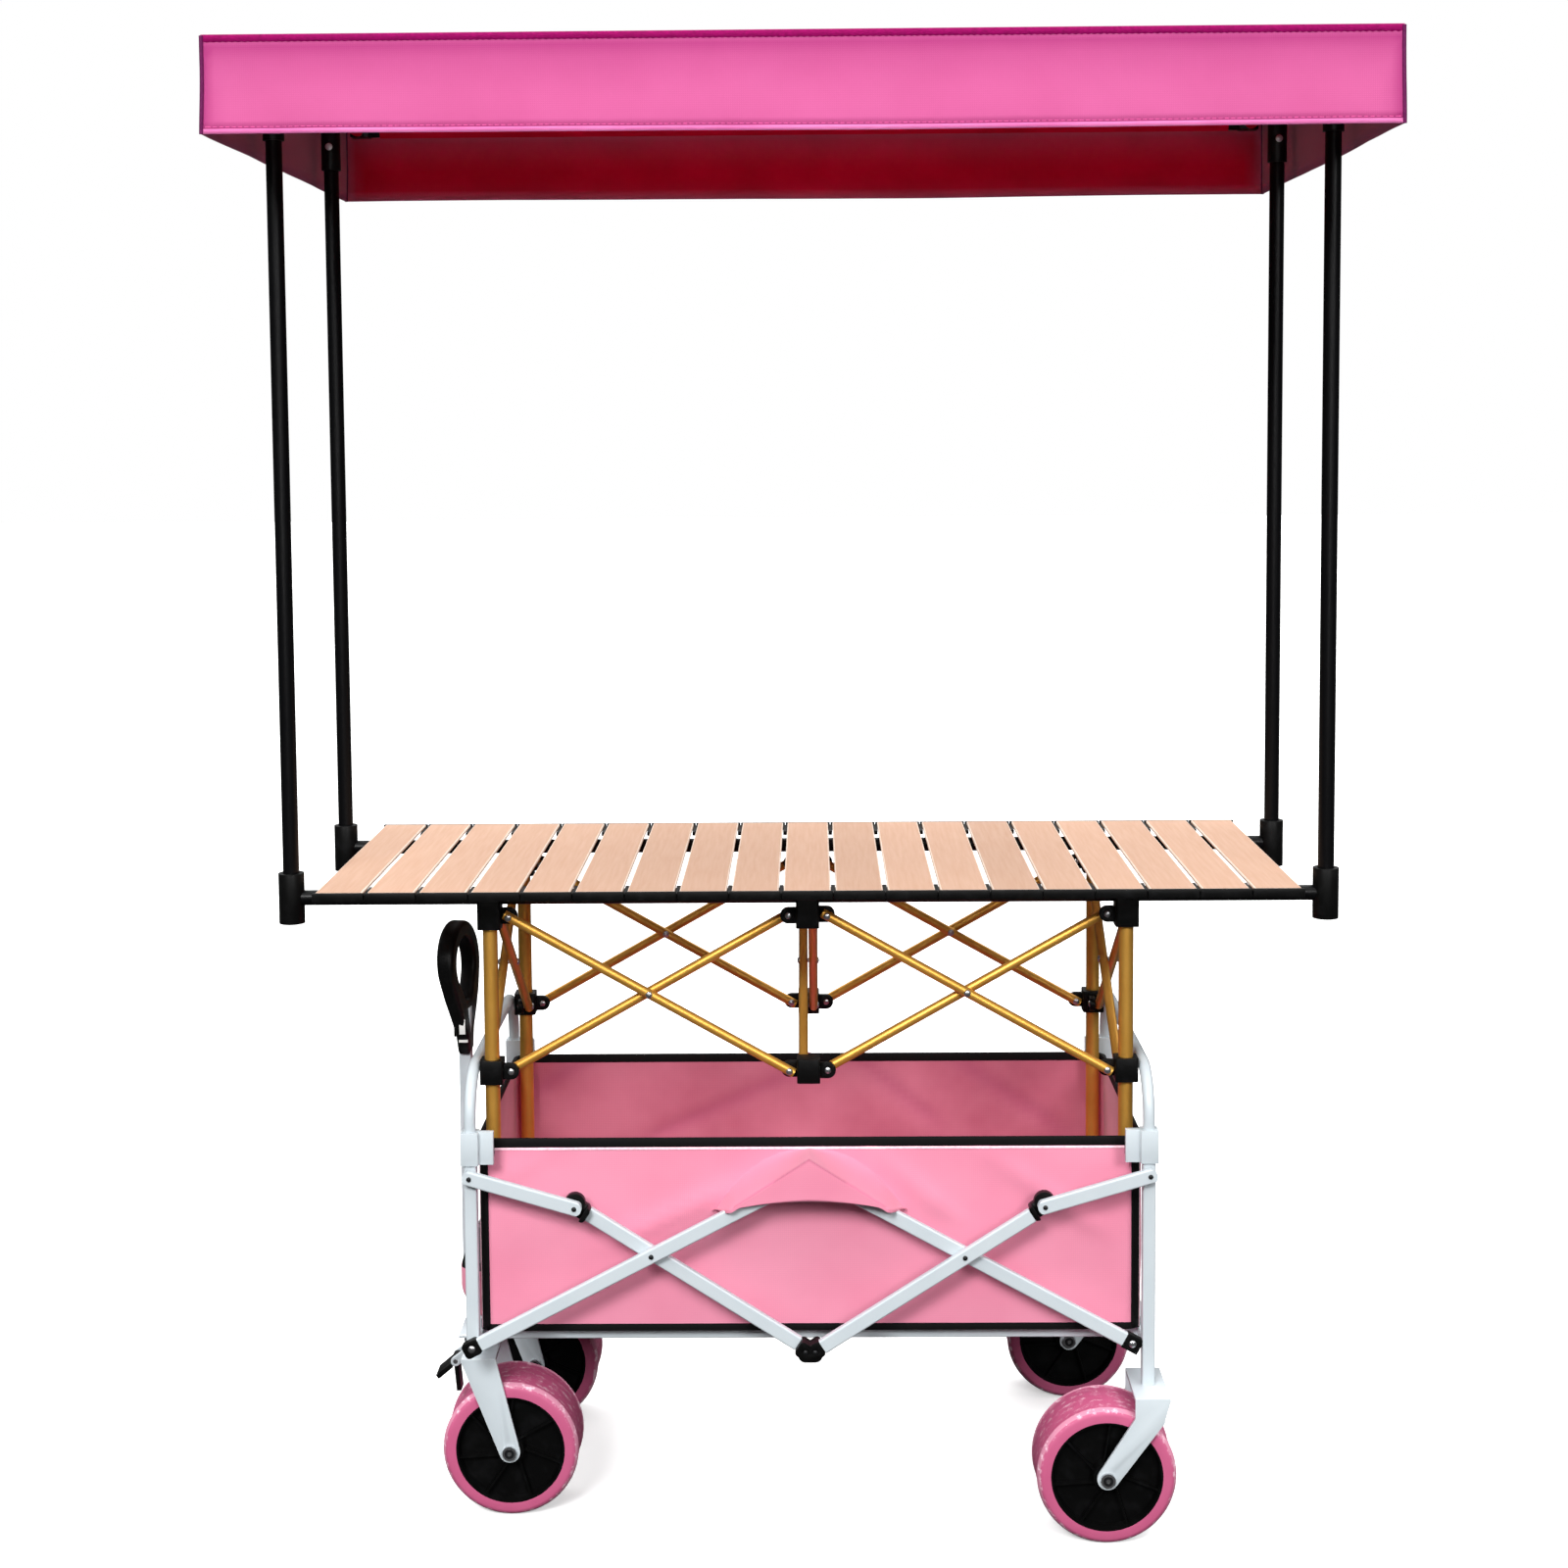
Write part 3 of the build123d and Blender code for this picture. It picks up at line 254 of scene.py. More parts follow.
@dataclass(frozen=True)
class NetCloth(Finish):
    """Knitted polyester net: grey threads round small dark holes."""

    hole: str = "4A4448"
    hole_mm: float = 3.2

    def pattern(self, tree: bpy.types.NodeTree, shader: bpy.types.Node) -> None:
        """Draw the holes as cells on the cloth's flat layout, with the threads standing proud.

        Args:
            tree: the material's node tree.
            shader: its principled shader.
        """
        places = add_node(tree, "ShaderNodeTexCoord")
        cells = add_node(tree, "ShaderNodeTexVoronoi",
                         {"feature": "DISTANCE_TO_EDGE", "Scale": grains_per_metre(self.hole_mm),
                          "Randomness": 0.15},
                         {"Vector": places.outputs["UV"]})
        holes = add_node(tree, "ShaderNodeMapRange", {"From Min": 0.12, "From Max": 0.22},
                         {"Value": cells.outputs["Distance"]})
        face = add_node(tree, "ShaderNodeMix",
                        {"data_type": "RGBA", 6: linear(self.colour), 7: linear(self.hole)},
                        {0: holes.outputs["Result"]})
        relief = add_node(tree, "ShaderNodeBump", {"Strength": 0.5, "Distance": 0.4 * MM, "invert": True},
                          {"Height": holes.outputs["Result"]})
        tree.links.new(face.outputs[2], shader.inputs["Base Color"])
        tree.links.new(relief.outputs["Normal"], shader.inputs["Normal"])


@dataclass(frozen=True)
class PowderCoat(Finish):
    """Powder coat baked on steel: smooth and half glossy, with a fine ripple and faint handling marks."""

    shade: str = "FFFFFF"
    ripple_mm: float = 2.2
    mark_mm: float = 45.0
    gloss: float = 0.5
    gloss_range: float = 0.08

    def pattern(self, tree: bpy.types.NodeTree, shader: bpy.types.Node) -> None:
        """Ripple the coat and vary its tone a little.

        Args:
            tree: the material's node tree.
            shader: its principled shader.
        """
        places = add_node(tree, "ShaderNodeTexCoord")
        marks = add_node(tree, "ShaderNodeTexNoise",
                         {"Scale": grains_per_metre(self.mark_mm), "Detail": 4.0},
                         {"Vector": places.outputs["Object"]})
        face = add_node(tree, "ShaderNodeMix",
                        {"data_type": "RGBA", 6: linear(self.shade), 7: linear(self.colour)},
                        {0: marks.outputs["Fac"]})
        ripple = add_node(tree, "ShaderNodeTexNoise",
                          {"Scale": grains_per_metre(self.ripple_mm), "Detail": 1.0},
                          {"Vector": places.outputs["Object"]})
        relief = add_node(tree, "ShaderNodeBump", {"Strength": 0.10, "Distance": 0.1 * MM},
                          {"Height": ripple.outputs["Fac"]})
        gloss = add_node(tree, "ShaderNodeMapRange",
                         {"To Min": self.roughness - self.gloss_range,
                          "To Max": self.roughness + self.gloss_range},
                         {"Value": marks.outputs["Fac"]})
        tree.links.new(face.outputs[2], shader.inputs["Base Color"])
        tree.links.new(relief.outputs["Normal"], shader.inputs["Normal"])
        tree.links.new(gloss.outputs["Result"], shader.inputs["Roughness"])
        shader.inputs["Specular IOR Level"].default_value = self.gloss


@dataclass(frozen=True)
class SatinMetal(Finish):
    """Anodised, zinc plated or blackened metal: a thin even skin, satin and mottled, with faint marks.

    The real marks are too fine to show, so they are drawn coarser.
    """

    shade: str = "FFFFFF"
    metallic: float = 0.7
    mottle_mm: float = 30.0
    mark_mm: float = 1.6
    gloss_range: float = 0.07

    def pattern(self, tree: bpy.types.NodeTree, shader: bpy.types.Node) -> None:
        """Mottle the skin and break the gloss with fine marks.

        Args:
            tree: the material's node tree.
            shader: its principled shader.
        """
        places = add_node(tree, "ShaderNodeTexCoord")
        mottle = add_node(tree, "ShaderNodeTexNoise",
                          {"Scale": grains_per_metre(self.mottle_mm), "Detail": 3.0},
                          {"Vector": places.outputs["Object"]})
        face = add_node(tree, "ShaderNodeMix",
                        {"data_type": "RGBA", 6: linear(self.shade), 7: linear(self.colour)},
                        {0: mottle.outputs["Fac"]})
        marks = add_node(tree, "ShaderNodeTexNoise",
                         {"Scale": grains_per_metre(self.mark_mm), "Detail": 2.0},
                         {"Vector": places.outputs["Object"]})
        gloss = add_node(tree, "ShaderNodeMapRange",
                         {"To Min": self.roughness - self.gloss_range,
                          "To Max": self.roughness + self.gloss_range},
                         {"Value": marks.outputs["Fac"]})
        tree.links.new(face.outputs[2], shader.inputs["Base Color"])
        tree.links.new(gloss.outputs["Result"], shader.inputs["Roughness"])
        shader.inputs["Metallic"].default_value = self.metallic


@dataclass(frozen=True)
class MouldedPlastic(Finish):
    """Injection moulded nylon: a fine spark-eroded grain that softens highlights, with paler rubbed spots.

    The real grain is too fine to show, so it is drawn coarser.
    """

    rubbed: str = "2C2C2E"
    spot_mm: float = 18.0
    grain_mm: float = 1.2
    grain: float = 0.25
    gloss: float = 0.28

    def pattern(self, tree: bpy.types.NodeTree, shader: bpy.types.Node) -> None:
        """Grain the moulding and rub it pale in small spots.

        Args:
            tree: the material's node tree.
            shader: its principled shader.
        """
        places = add_node(tree, "ShaderNodeTexCoord")
        spots = add_node(tree, "ShaderNodeTexNoise",
                         {"Scale": grains_per_metre(self.spot_mm), "Detail": 5.0},
                         {"Vector": places.outputs["Object"]})
        rubbed = add_node(tree, "ShaderNodeMapRange", {"From Min": 0.5, "From Max": 0.8},
                          {"Value": spots.outputs["Fac"]})
        face = add_node(tree, "ShaderNodeMix",
                        {"data_type": "RGBA", 6: linear(self.colour), 7: linear(self.rubbed)},
                        {0: rubbed.outputs["Result"]})
        grain = add_node(tree, "ShaderNodeTexNoise",
                         {"Scale": grains_per_metre(self.grain_mm), "Detail": 2.0},
                         {"Vector": places.outputs["Object"]})
        relief = add_node(tree, "ShaderNodeBump", {"Strength": self.grain, "Distance": 0.1 * MM},
                          {"Height": grain.outputs["Fac"]})
        tree.links.new(face.outputs[2], shader.inputs["Base Color"])
        tree.links.new(relief.outputs["Normal"], shader.inputs["Normal"])
        shader.inputs["Specular IOR Level"].default_value = self.gloss


@dataclass(frozen=True)
class LacqueredBeech(Finish):
    """Planed beech under matt lacquer: warm, of a tone that differs by slat, with fine grain along it.

    The real lines of the grain are too fine to show, so they are drawn coarser.
    """

    shade: str = "FFFFFF"
    slat_pitch: float = 0.0635
    line_mm: float = 5.0
    line_stretch: float = 0.06
    gloss: float = 0.25

    def pattern(self, tree: bpy.types.NodeTree, shader: bpy.types.Node) -> None:
        """Draw the grain along Y, shifted and tinted by the slat that a point lies on.

        Args:
            tree: the material's node tree.
            shader: its principled shader.
        """
        places = add_node(tree, "ShaderNodeTexCoord")
        along = add_node(tree, "ShaderNodeSeparateXYZ", {}, {"Vector": places.outputs["Object"]})
        count = add_node(tree, "ShaderNodeMath", {"operation": "DIVIDE", 1: self.slat_pitch},
                         {0: along.outputs["X"]})
        slat = add_node(tree, "ShaderNodeMath", {"operation": "ROUND"}, {0: count.outputs["Value"]})
        tint = add_node(tree, "ShaderNodeTexWhiteNoise", {"noise_dimensions": "1D"},
                        {"W": slat.outputs["Value"]})
        drawn = add_node(tree, "ShaderNodeMapping", {"Scale": (1.0, self.line_stretch, 1.0)},
                         {"Vector": places.outputs["Object"]})
        lines = add_node(tree, "ShaderNodeTexNoise",
                         {"noise_dimensions": "4D", "Scale": grains_per_metre(self.line_mm), "Detail": 4.0,
                          "Distortion": 0.3},
                         {"Vector": drawn.outputs["Vector"], "W": slat.outputs["Value"]})
        grain = add_node(tree, "ShaderNodeMapRange", {"From Min": 0.3, "From Max": 0.7},
                         {"Value": lines.outputs["Fac"]})
        wood = add_node(tree, "ShaderNodeMix",
                        {"data_type": "RGBA", 6: linear(self.shade), 7: linear(self.colour)},
                        {0: grain.outputs["Result"]})
        depth = add_node(tree, "ShaderNodeMapRange", {"To Min": 0.93, "To Max": 1.05},
                         {"Value": tint.outputs["Value"]})
        face = add_node(tree, "ShaderNodeVectorMath", {"operation": "SCALE"},
                        {0: wood.outputs[2], "Scale": depth.outputs["Result"]})
        relief = add_node(tree, "ShaderNodeBump", {"Strength": 0.06, "Distance": 0.1 * MM},
                          {"Height": lines.outputs["Fac"]})
        tree.links.new(face.outputs["Vector"], shader.inputs["Base Color"])
        tree.links.new(relief.outputs["Normal"], shader.inputs["Normal"])
        shader.inputs["Specular IOR Level"].default_value = self.gloss


@dataclass(frozen=True)
class MouldedTyre(Finish):
    """Moulded polyurethane: matt and mottled, scuffed pale in rows of tread, with a pale line along its
    shoulders that is partly a painted highlight.

    The real grain of the mould is too fine to show, so it is drawn coarser.
    """

    shade: str = "FFFFFF"
    scuffed: str = "F4CFDD"
    scuff_mm: float = 9.0
    mottle_mm: float = 35.0
    grain_mm: float = 1.4

    def pattern(self, tree: bpy.types.NodeTree, shader: bpy.types.Node) -> None:
        """Mottle the rubber, scuff it where the piece's tread attribute is high and paint the shoulder line,
        partly a highlight, where it is higher still.

        Args:
            tree: the material's node tree.
            shader: its principled shader.
        """
        places = add_node(tree, "ShaderNodeTexCoord")
        tread = add_node(tree, "ShaderNodeAttribute", {"attribute_name": TREAD_SCUFFS_AND_HIGHLIGHT})
        mottle = add_node(tree, "ShaderNodeTexNoise",
                          {"Scale": grains_per_metre(self.mottle_mm), "Detail": 3.0},
                          {"Vector": places.outputs["Object"]})
        rubber = add_node(tree, "ShaderNodeMix",
                          {"data_type": "RGBA", 6: linear(self.shade), 7: linear(self.colour)},
                          {0: mottle.outputs["Fac"]})
        scuffs = add_node(tree, "ShaderNodeTexNoise",
                          {"Scale": grains_per_metre(self.scuff_mm), "Detail": 5.0, "Roughness": 0.65},
                          {"Vector": places.outputs["Object"]})
        flecks = add_node(tree, "ShaderNodeMapRange", {"From Min": 0.5, "From Max": 0.68},
                          {"Value": scuffs.outputs["Fac"]})
        worn = add_node(tree, "ShaderNodeMath", {"operation": "MULTIPLY", "use_clamp": True},
                        {0: flecks.outputs["Result"], 1: tread.outputs["Fac"]})
        # Partly painted highlight: the pale line along the shoulders.
        line = add_node(tree, "ShaderNodeMapRange", {"From Min": 1.1, "From Max": 2.2},
                        {"Value": tread.outputs["Fac"]})
        pale = add_node(tree, "ShaderNodeMath", {"operation": "MAXIMUM"},
                        {0: worn.outputs["Value"], 1: line.outputs["Result"]})
        face = add_node(tree, "ShaderNodeMix", {"data_type": "RGBA", 7: linear(self.scuffed)},
                        {0: pale.outputs["Value"], 6: rubber.outputs[2]})
        grain = add_node(tree, "ShaderNodeTexNoise",
                         {"Scale": grains_per_metre(self.grain_mm), "Detail": 2.0},
                         {"Vector": places.outputs["Object"]})
        relief = add_node(tree, "ShaderNodeBump", {"Strength": 0.18, "Distance": 0.15 * MM},
                          {"Height": grain.outputs["Fac"]})
        tree.links.new(face.outputs[2], shader.inputs["Base Color"])
        tree.links.new(relief.outputs["Normal"], shader.inputs["Normal"])


class Look(Enum):
    """Every finish of the cart."""

    # Its seam colour is the painted shade near seams and below the binding.
    ROOF_CLOTH = WovenCloth("woven_polyester_hot_pink", "C85B92", 0.72, shade="C3558C", seam="982068")
    # Painted light: crimson standing for daylight filtered through the roof cloth, seen in shade.
    ROOF_PAINTED_BACKLIGHT = WovenCloth("woven_polyester_crimson_painted_backlight", "DE0036", 0.9, shade="C8002D", sheen=0.0)
    ROOF_HEM = WovenCloth("woven_polyester_pale_hem", "D874AB", 0.75, shade="CC629C")
    ROOF_BINDING = BindingTape("ribbed_tape_magenta", "96045C", 0.7)
    ROOF_PIPING = BindingTape("ribbed_piping_purple", "5A1246", 0.65)
    BASKET_CLOTH = WovenCloth("woven_polyester_rose", "F098B2", 0.74, shade="E98CA7", patch_mm=170.0)
    # Painted shade: the inner face is a darker rose than the outer, for the shade inside the basket.
    BASKET_BACK_PAINTED_SHADE = WovenCloth("woven_polyester_rose_back_painted_shade", "DC7F96", 0.8, shade="CC6C84", sheen=0.15)
    # Partly painted highlight: the pale line along the lower edge of the rim tape is drawn as pale piping.
    PALE_PIPING_AND_HIGHLIGHT = BindingTape("ribbed_piping_pale_pink_painted_highlight", "FFD2DF", 0.7)
    BLACK_TAPE = BindingTape("ribbed_tape_black", "0B0A0B", 0.75)
    POUCH_NET = NetCloth("knitted_net_grey", "8D8F96", 0.7)
    FLOOR_CLOTH = WovenCloth("woven_polyester_floor", "D5869C", 0.8, shade="C67389")
    THREAD = BindingTape("sewing_thread_pink", "D65A98", 0.7)
    WHITE_COAT = PowderCoat("powder_coat_white", "CFD7DB", 0.34, shade="C3CDD3")
    BLACK_COAT = PowderCoat("powder_coat_black", "050506", 0.34, shade="08080A", gloss=0.14)
    GOLD_TUBE = SatinMetal("anodised_aluminium_gold", "E8B052", 0.42, shade="D59A3F", metallic=0.72)
    BLACK_NYLON = MouldedPlastic("moulded_nylon_black", "060606", 0.42, rubbed="141415", gloss=0.15)
    BLACK_GRIP = MouldedPlastic("moulded_grip_black", "0A0A0A", 0.36, rubbed="161617", grain_mm=1.8,
                                grain=0.3, gloss=0.16)
    HUB_PLASTIC = MouldedPlastic("moulded_hub_black", "060606", 0.4, rubbed="121213", grain=0.2, gloss=0.12)
    BEECH = LacqueredBeech("lacquered_beech", "CDA992", 0.6, shade="C59D83")
    # Painted highlight: the pale band round each slat's top edge.
    BEECH_PAINTED_HIGHLIGHT = LacqueredBeech("lacquered_beech_painted_highlight", "FBEADB", 0.36, shade="F4DCC8")
    TYRE = MouldedTyre("moulded_polyurethane_pink", "CC628A", 0.62, shade="BC507A")
    # Painted highlight: a paler white on the rounded edges of white parts.
    WHITE_PAINTED_HIGHLIGHT = PowderCoat("powder_coat_white_painted_edge_highlight", "F3F6F8", 0.3, shade="EAEFF2")
    DARK_STEEL = SatinMetal("blackened_steel", "2A2B2D", 0.4, shade="1C1D1E", metallic=0.6)
    WHITE_NYLON = MouldedPlastic("moulded_nylon_white", "EDEDEA", 0.45, rubbed="E2E2DE", gloss=0.4)
    ZINC = SatinMetal("zinc_plated_steel", "C9CACC", 0.3, shade="B4B5B8", metallic=1.0)


class Wardrobe:
    """Makes each finish once and hands it out."""

    def __init__(self) -> None:
        """Start with nothing made."""
        self.made: dict[Look, bpy.types.Material] = {}

    def get(self, look: Look) -> bpy.types.Material:
        """Give the material of a finish.

        Args:
            look: the finish that is wanted.

        Returns:
            Its material, made on first use.
        """
        if look not in self.made:
            self.made[look] = look.value.build()
        return self.made[look]


@dataclass
class Workshop:
    """Turns meshes into pieces that ride on the frame."""

    wardrobe: Wardrobe

    def piece(self, name: str, mesh: bmesh.types.BMesh, looks: Sequence[Look], body: str, slot: str,
              smooth_deg: float = 40.0) -> bpy.types.Object:
        """Make an object of a mesh, dress it and let it ride.

        Args:
            name: the piece's name.
            mesh: its shape, which is used up.
            looks: its finishes, in the order of its material slots.
            body: the body of the frame that it moves with.
            slot: the record's material slot; not used.
            smooth_deg: edges sharper than this stay sharp.

        Returns:
            The new piece.
        """
        data = bpy.data.meshes.new(name)
        mesh.normal_update()
        mesh.to_mesh(data)
        mesh.free()
        for look in looks:
            data.materials.append(self.wardrobe.get(look))
        data.shade_smooth()
        data.set_sharp_from_angle(angle=math.radians(smooth_deg))
        made = bpy.data.objects.new(name, data)
        bpy.context.scene.collection.objects.link(made)
        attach(made, body)
        log.info("%s: %d faces on %s", name, len(data.polygons), body)
        return made

    def thicken(self, piece: bpy.types.Object, wall: float, offset: float = -1.0,
                inner_slot: int = 0) -> None:
        """Give a sheet its thickness.

        Args:
            piece: the sheet.
            wall: its thickness.
            offset: -1 keeps its outer face in place, 0 its middle.
            inner_slot: how many material slots further on the inner face's finish is.
        """
        shell = piece.modifiers.new("wall", "SOLIDIFY")
        shell.thickness = wall
        shell.offset = offset
        shell.material_offset = inner_slot

    def round_edges(self, piece: bpy.types.Object, width: float) -> None:
        """Round a piece's sharp edges.

        Args:
            piece: the piece.
            width: how far the rounding reaches on each side of an edge.
        """
        rounding = piece.modifiers.new("edges", "BEVEL")
        rounding.width = width
        rounding.segments = 2
        rounding.limit_method = "ANGLE"


def corners_of(node: str) -> tuple[Vector, Vector]:
    """Give a node's lowest and highest corner as vectors."""
    low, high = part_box(node)
    return Vector(low), Vector(high)


def node_copy(node: str) -> bmesh.types.BMesh:
    """Copy a node's mesh with its loose triangles joined.

    Args:
        node: the node's name.

    Returns:
        The copy.
    """
    mesh = bmesh.new()
    mesh.from_mesh(frame["nodes"][node].data)
    bmesh.ops.remove_doubles(mesh, verts=mesh.verts[:], dist=MERGE_REACH)
    return mesh


def merged_copy(node: str) -> bmesh.types.BMesh:
    """Copy a node's mesh, joined, with each flat face in one piece.

    Args:
        node: the node's name.

    Returns:
        The copy.
    """
    mesh = node_copy(node)
    bmesh.ops.dissolve_limit(mesh, angle_limit=math.radians(FLAT_DEG), verts=mesh.verts[:],
                             edges=mesh.edges[:])
    return mesh


def loose_boxes(node: str) -> list[tuple[Vector, Vector]]:
    """Find the boxes of a node's separate solids.

    Args:
        node: the node's name.

    Returns:
        The lowest and highest corner of each solid.
    """
    mesh = node_copy(node)
    waiting = set(mesh.verts)
    boxes = []
    while waiting:
        front = [waiting.pop()]
        island = []
        while front:
            vert = front.pop()
            island.append(vert.co.copy())
            near = {edge.other_vert(vert) for edge in vert.link_edges} & waiting
            waiting -= near
            front.extend(near)
        low = Vector(min(place[axis] for place in island) for axis in range(3))
        high = Vector(max(place[axis] for place in island) for axis in range(3))
        boxes.append((low, high))
    mesh.free()
    return sorted(boxes, key=lambda box: tuple(box[0]))


def smooth_step(share: float) -> float:
    """Ease a share from 0 to 1."""
    share = min(max(share, 0.0), 1.0)
    return share * share * (3 - 2 * share)


def unit_grid(across: int, along: int) -> bmesh.types.BMesh:
    """Make a flat grid from -1 to 1 both ways.

    Args:
        across: faces along X.
        along: faces along Y.

    Returns:
        The grid.
    """
    mesh = bmesh.new()
    bmesh.ops.create_grid(mesh, x_segments=across, y_segments=along, size=1.0)
    reach = max(vert.co.x for vert in mesh.verts)
    bmesh.ops.scale(mesh, vec=Vector((1 / reach, 1 / reach, 1)), verts=mesh.verts[:])
    return mesh


def grow_rows(mesh: bmesh.types.BMesh, edges: Iterable[bmesh.types.BMEdge],
              steps: Iterable[Vector]) -> list[bmesh.types.BMEdge]:
    """Extrude a line of edges row by row.

    Args:
        mesh: the mesh that the edges are in.
        edges: the first row.
        steps: how far each new row lies from the last one.

    Returns:
        The edges of the last row.
    """
    row = list(edges)
    for step in steps:
        grown = bmesh.ops.extrude_edge_only(mesh, edges=row)["geom"]
        points = {part for part in grown if isinstance(part, bmesh.types.BMVert)}
        bmesh.ops.translate(mesh, vec=step, verts=list(points))
        row = [part for part in grown
               if isinstance(part, bmesh.types.BMEdge) and points.issuperset(part.verts)]
    return row


def add_block(mesh: bmesh.types.BMesh, place: Matrix, size: Sequence[float]) -> None:
    """Add a block of a size along X, Y and Z, then turned and moved by a matrix."""
    bmesh.ops.create_cube(mesh, size=1.0, matrix=place @ Matrix.Diagonal((*size, 1)))


def spin_section(places: Sequence[tuple[float, float]], steps: int) -> bmesh.types.BMesh:
    """Turn a closed section round the Y axis.

    Args:
        places: the section's corners in order, each as its place along Y and its distance from the axis.
        steps: how many steps the full turn has.

    Returns:
        The turned shape, with its faces outwards.
    """
    mesh = bmesh.new()
    line = [mesh.verts.new((0, y, z)) for y, z in places]
    for near, far in zip(line, line[1:] + line[:1]):
        mesh.edges.new((near, far))
    bmesh.ops.spin(mesh, geom=mesh.verts[:] + mesh.edges[:], cent=(0, 0, 0), axis=(0, 1, 0), angle=math.tau,
                   steps=steps, use_merge=True)
    bmesh.ops.remove_doubles(mesh, verts=mesh.verts[:], dist=MERGE_REACH)
    bmesh.ops.recalc_face_normals(mesh, faces=mesh.faces[:])
    return mesh


def round_all(mesh: bmesh.types.BMesh, reach: float) -> None:
    """Round every edge of a mesh."""
    bmesh.ops.bevel(mesh, geom=mesh.edges[:], offset=reach, affect="EDGES", segments=2, profile=0.5,
                    material=-1)


def rectangle_line(half_x: float, half_y: float, z: float, corner: float,
                   spacing: float) -> bmesh.types.BMesh:
    """Make a closed line of edges: a level rectangle with round or sharp corners.

    Args:
        half_x: half its length along X.
        half_y: half its length along Y.
        z: its height.
        corner: the radius of its corners, or 0.
        spacing: how far apart its points lie on the straight sides.

    Returns:
        The line.
    """
    mesh = unit_grid(1, 1)
    place = Matrix.Translation((0, 0, z)) @ Matrix.Diagonal((half_x, half_y, 1, 1))
    bmesh.ops.transform(mesh, matrix=place, verts=mesh.verts[:])
    if corner:
        bmesh.ops.bevel(mesh, geom=mesh.verts[:], offset=corner, affect="VERTICES", segments=CORNER_STEPS,
                        profile=0.5, material=-1)
    bmesh.ops.delete(mesh, geom=mesh.faces[:], context="FACES_ONLY")
    for side in [edge for edge in mesh.edges if edge.calc_length() > 4 * spacing]:
        cuts = round(side.calc_length() / spacing) - 1
        bmesh.ops.subdivide_edges(mesh, edges=[side], cuts=cuts)
    return mesh


def lay_out_flat(mesh: bmesh.types.BMesh, hang: Callable[[Vector], Vector] | None = None) -> None:
    """Turn a mesh's faces outwards and give each the metres of the plane that it faces as its UV places.

    Args:
        mesh: the mesh, cloth before it is hung.
        hang: gives each point's new place, if the cloth is to be hung as well.
    """
    bmesh.ops.recalc_face_normals(mesh, faces=mesh.faces[:])
    layer = mesh.loops.layers.uv.verify()
    mesh.normal_update()
    planes = ((1, 2), (0, 2), (0, 1))
    for face in mesh.faces:
        facing = max(range(3), key=lambda axis: abs(face.normal[axis]))
        across, up = planes[facing]
        for corner in face.loops:
            corner[layer].uv = (corner.vert.co[across], corner.vert.co[up])
    if hang:
        shape_points(mesh, hang)


def shape_points(mesh: bmesh.types.BMesh, move: Callable[[Vector], Vector]) -> None:
    """Move every point of a mesh to where a function puts it.

    Args:
        mesh: the mesh.
        move: gives a point's new place.
    """
    for vert in mesh.verts:
        vert.co = move(vert.co)


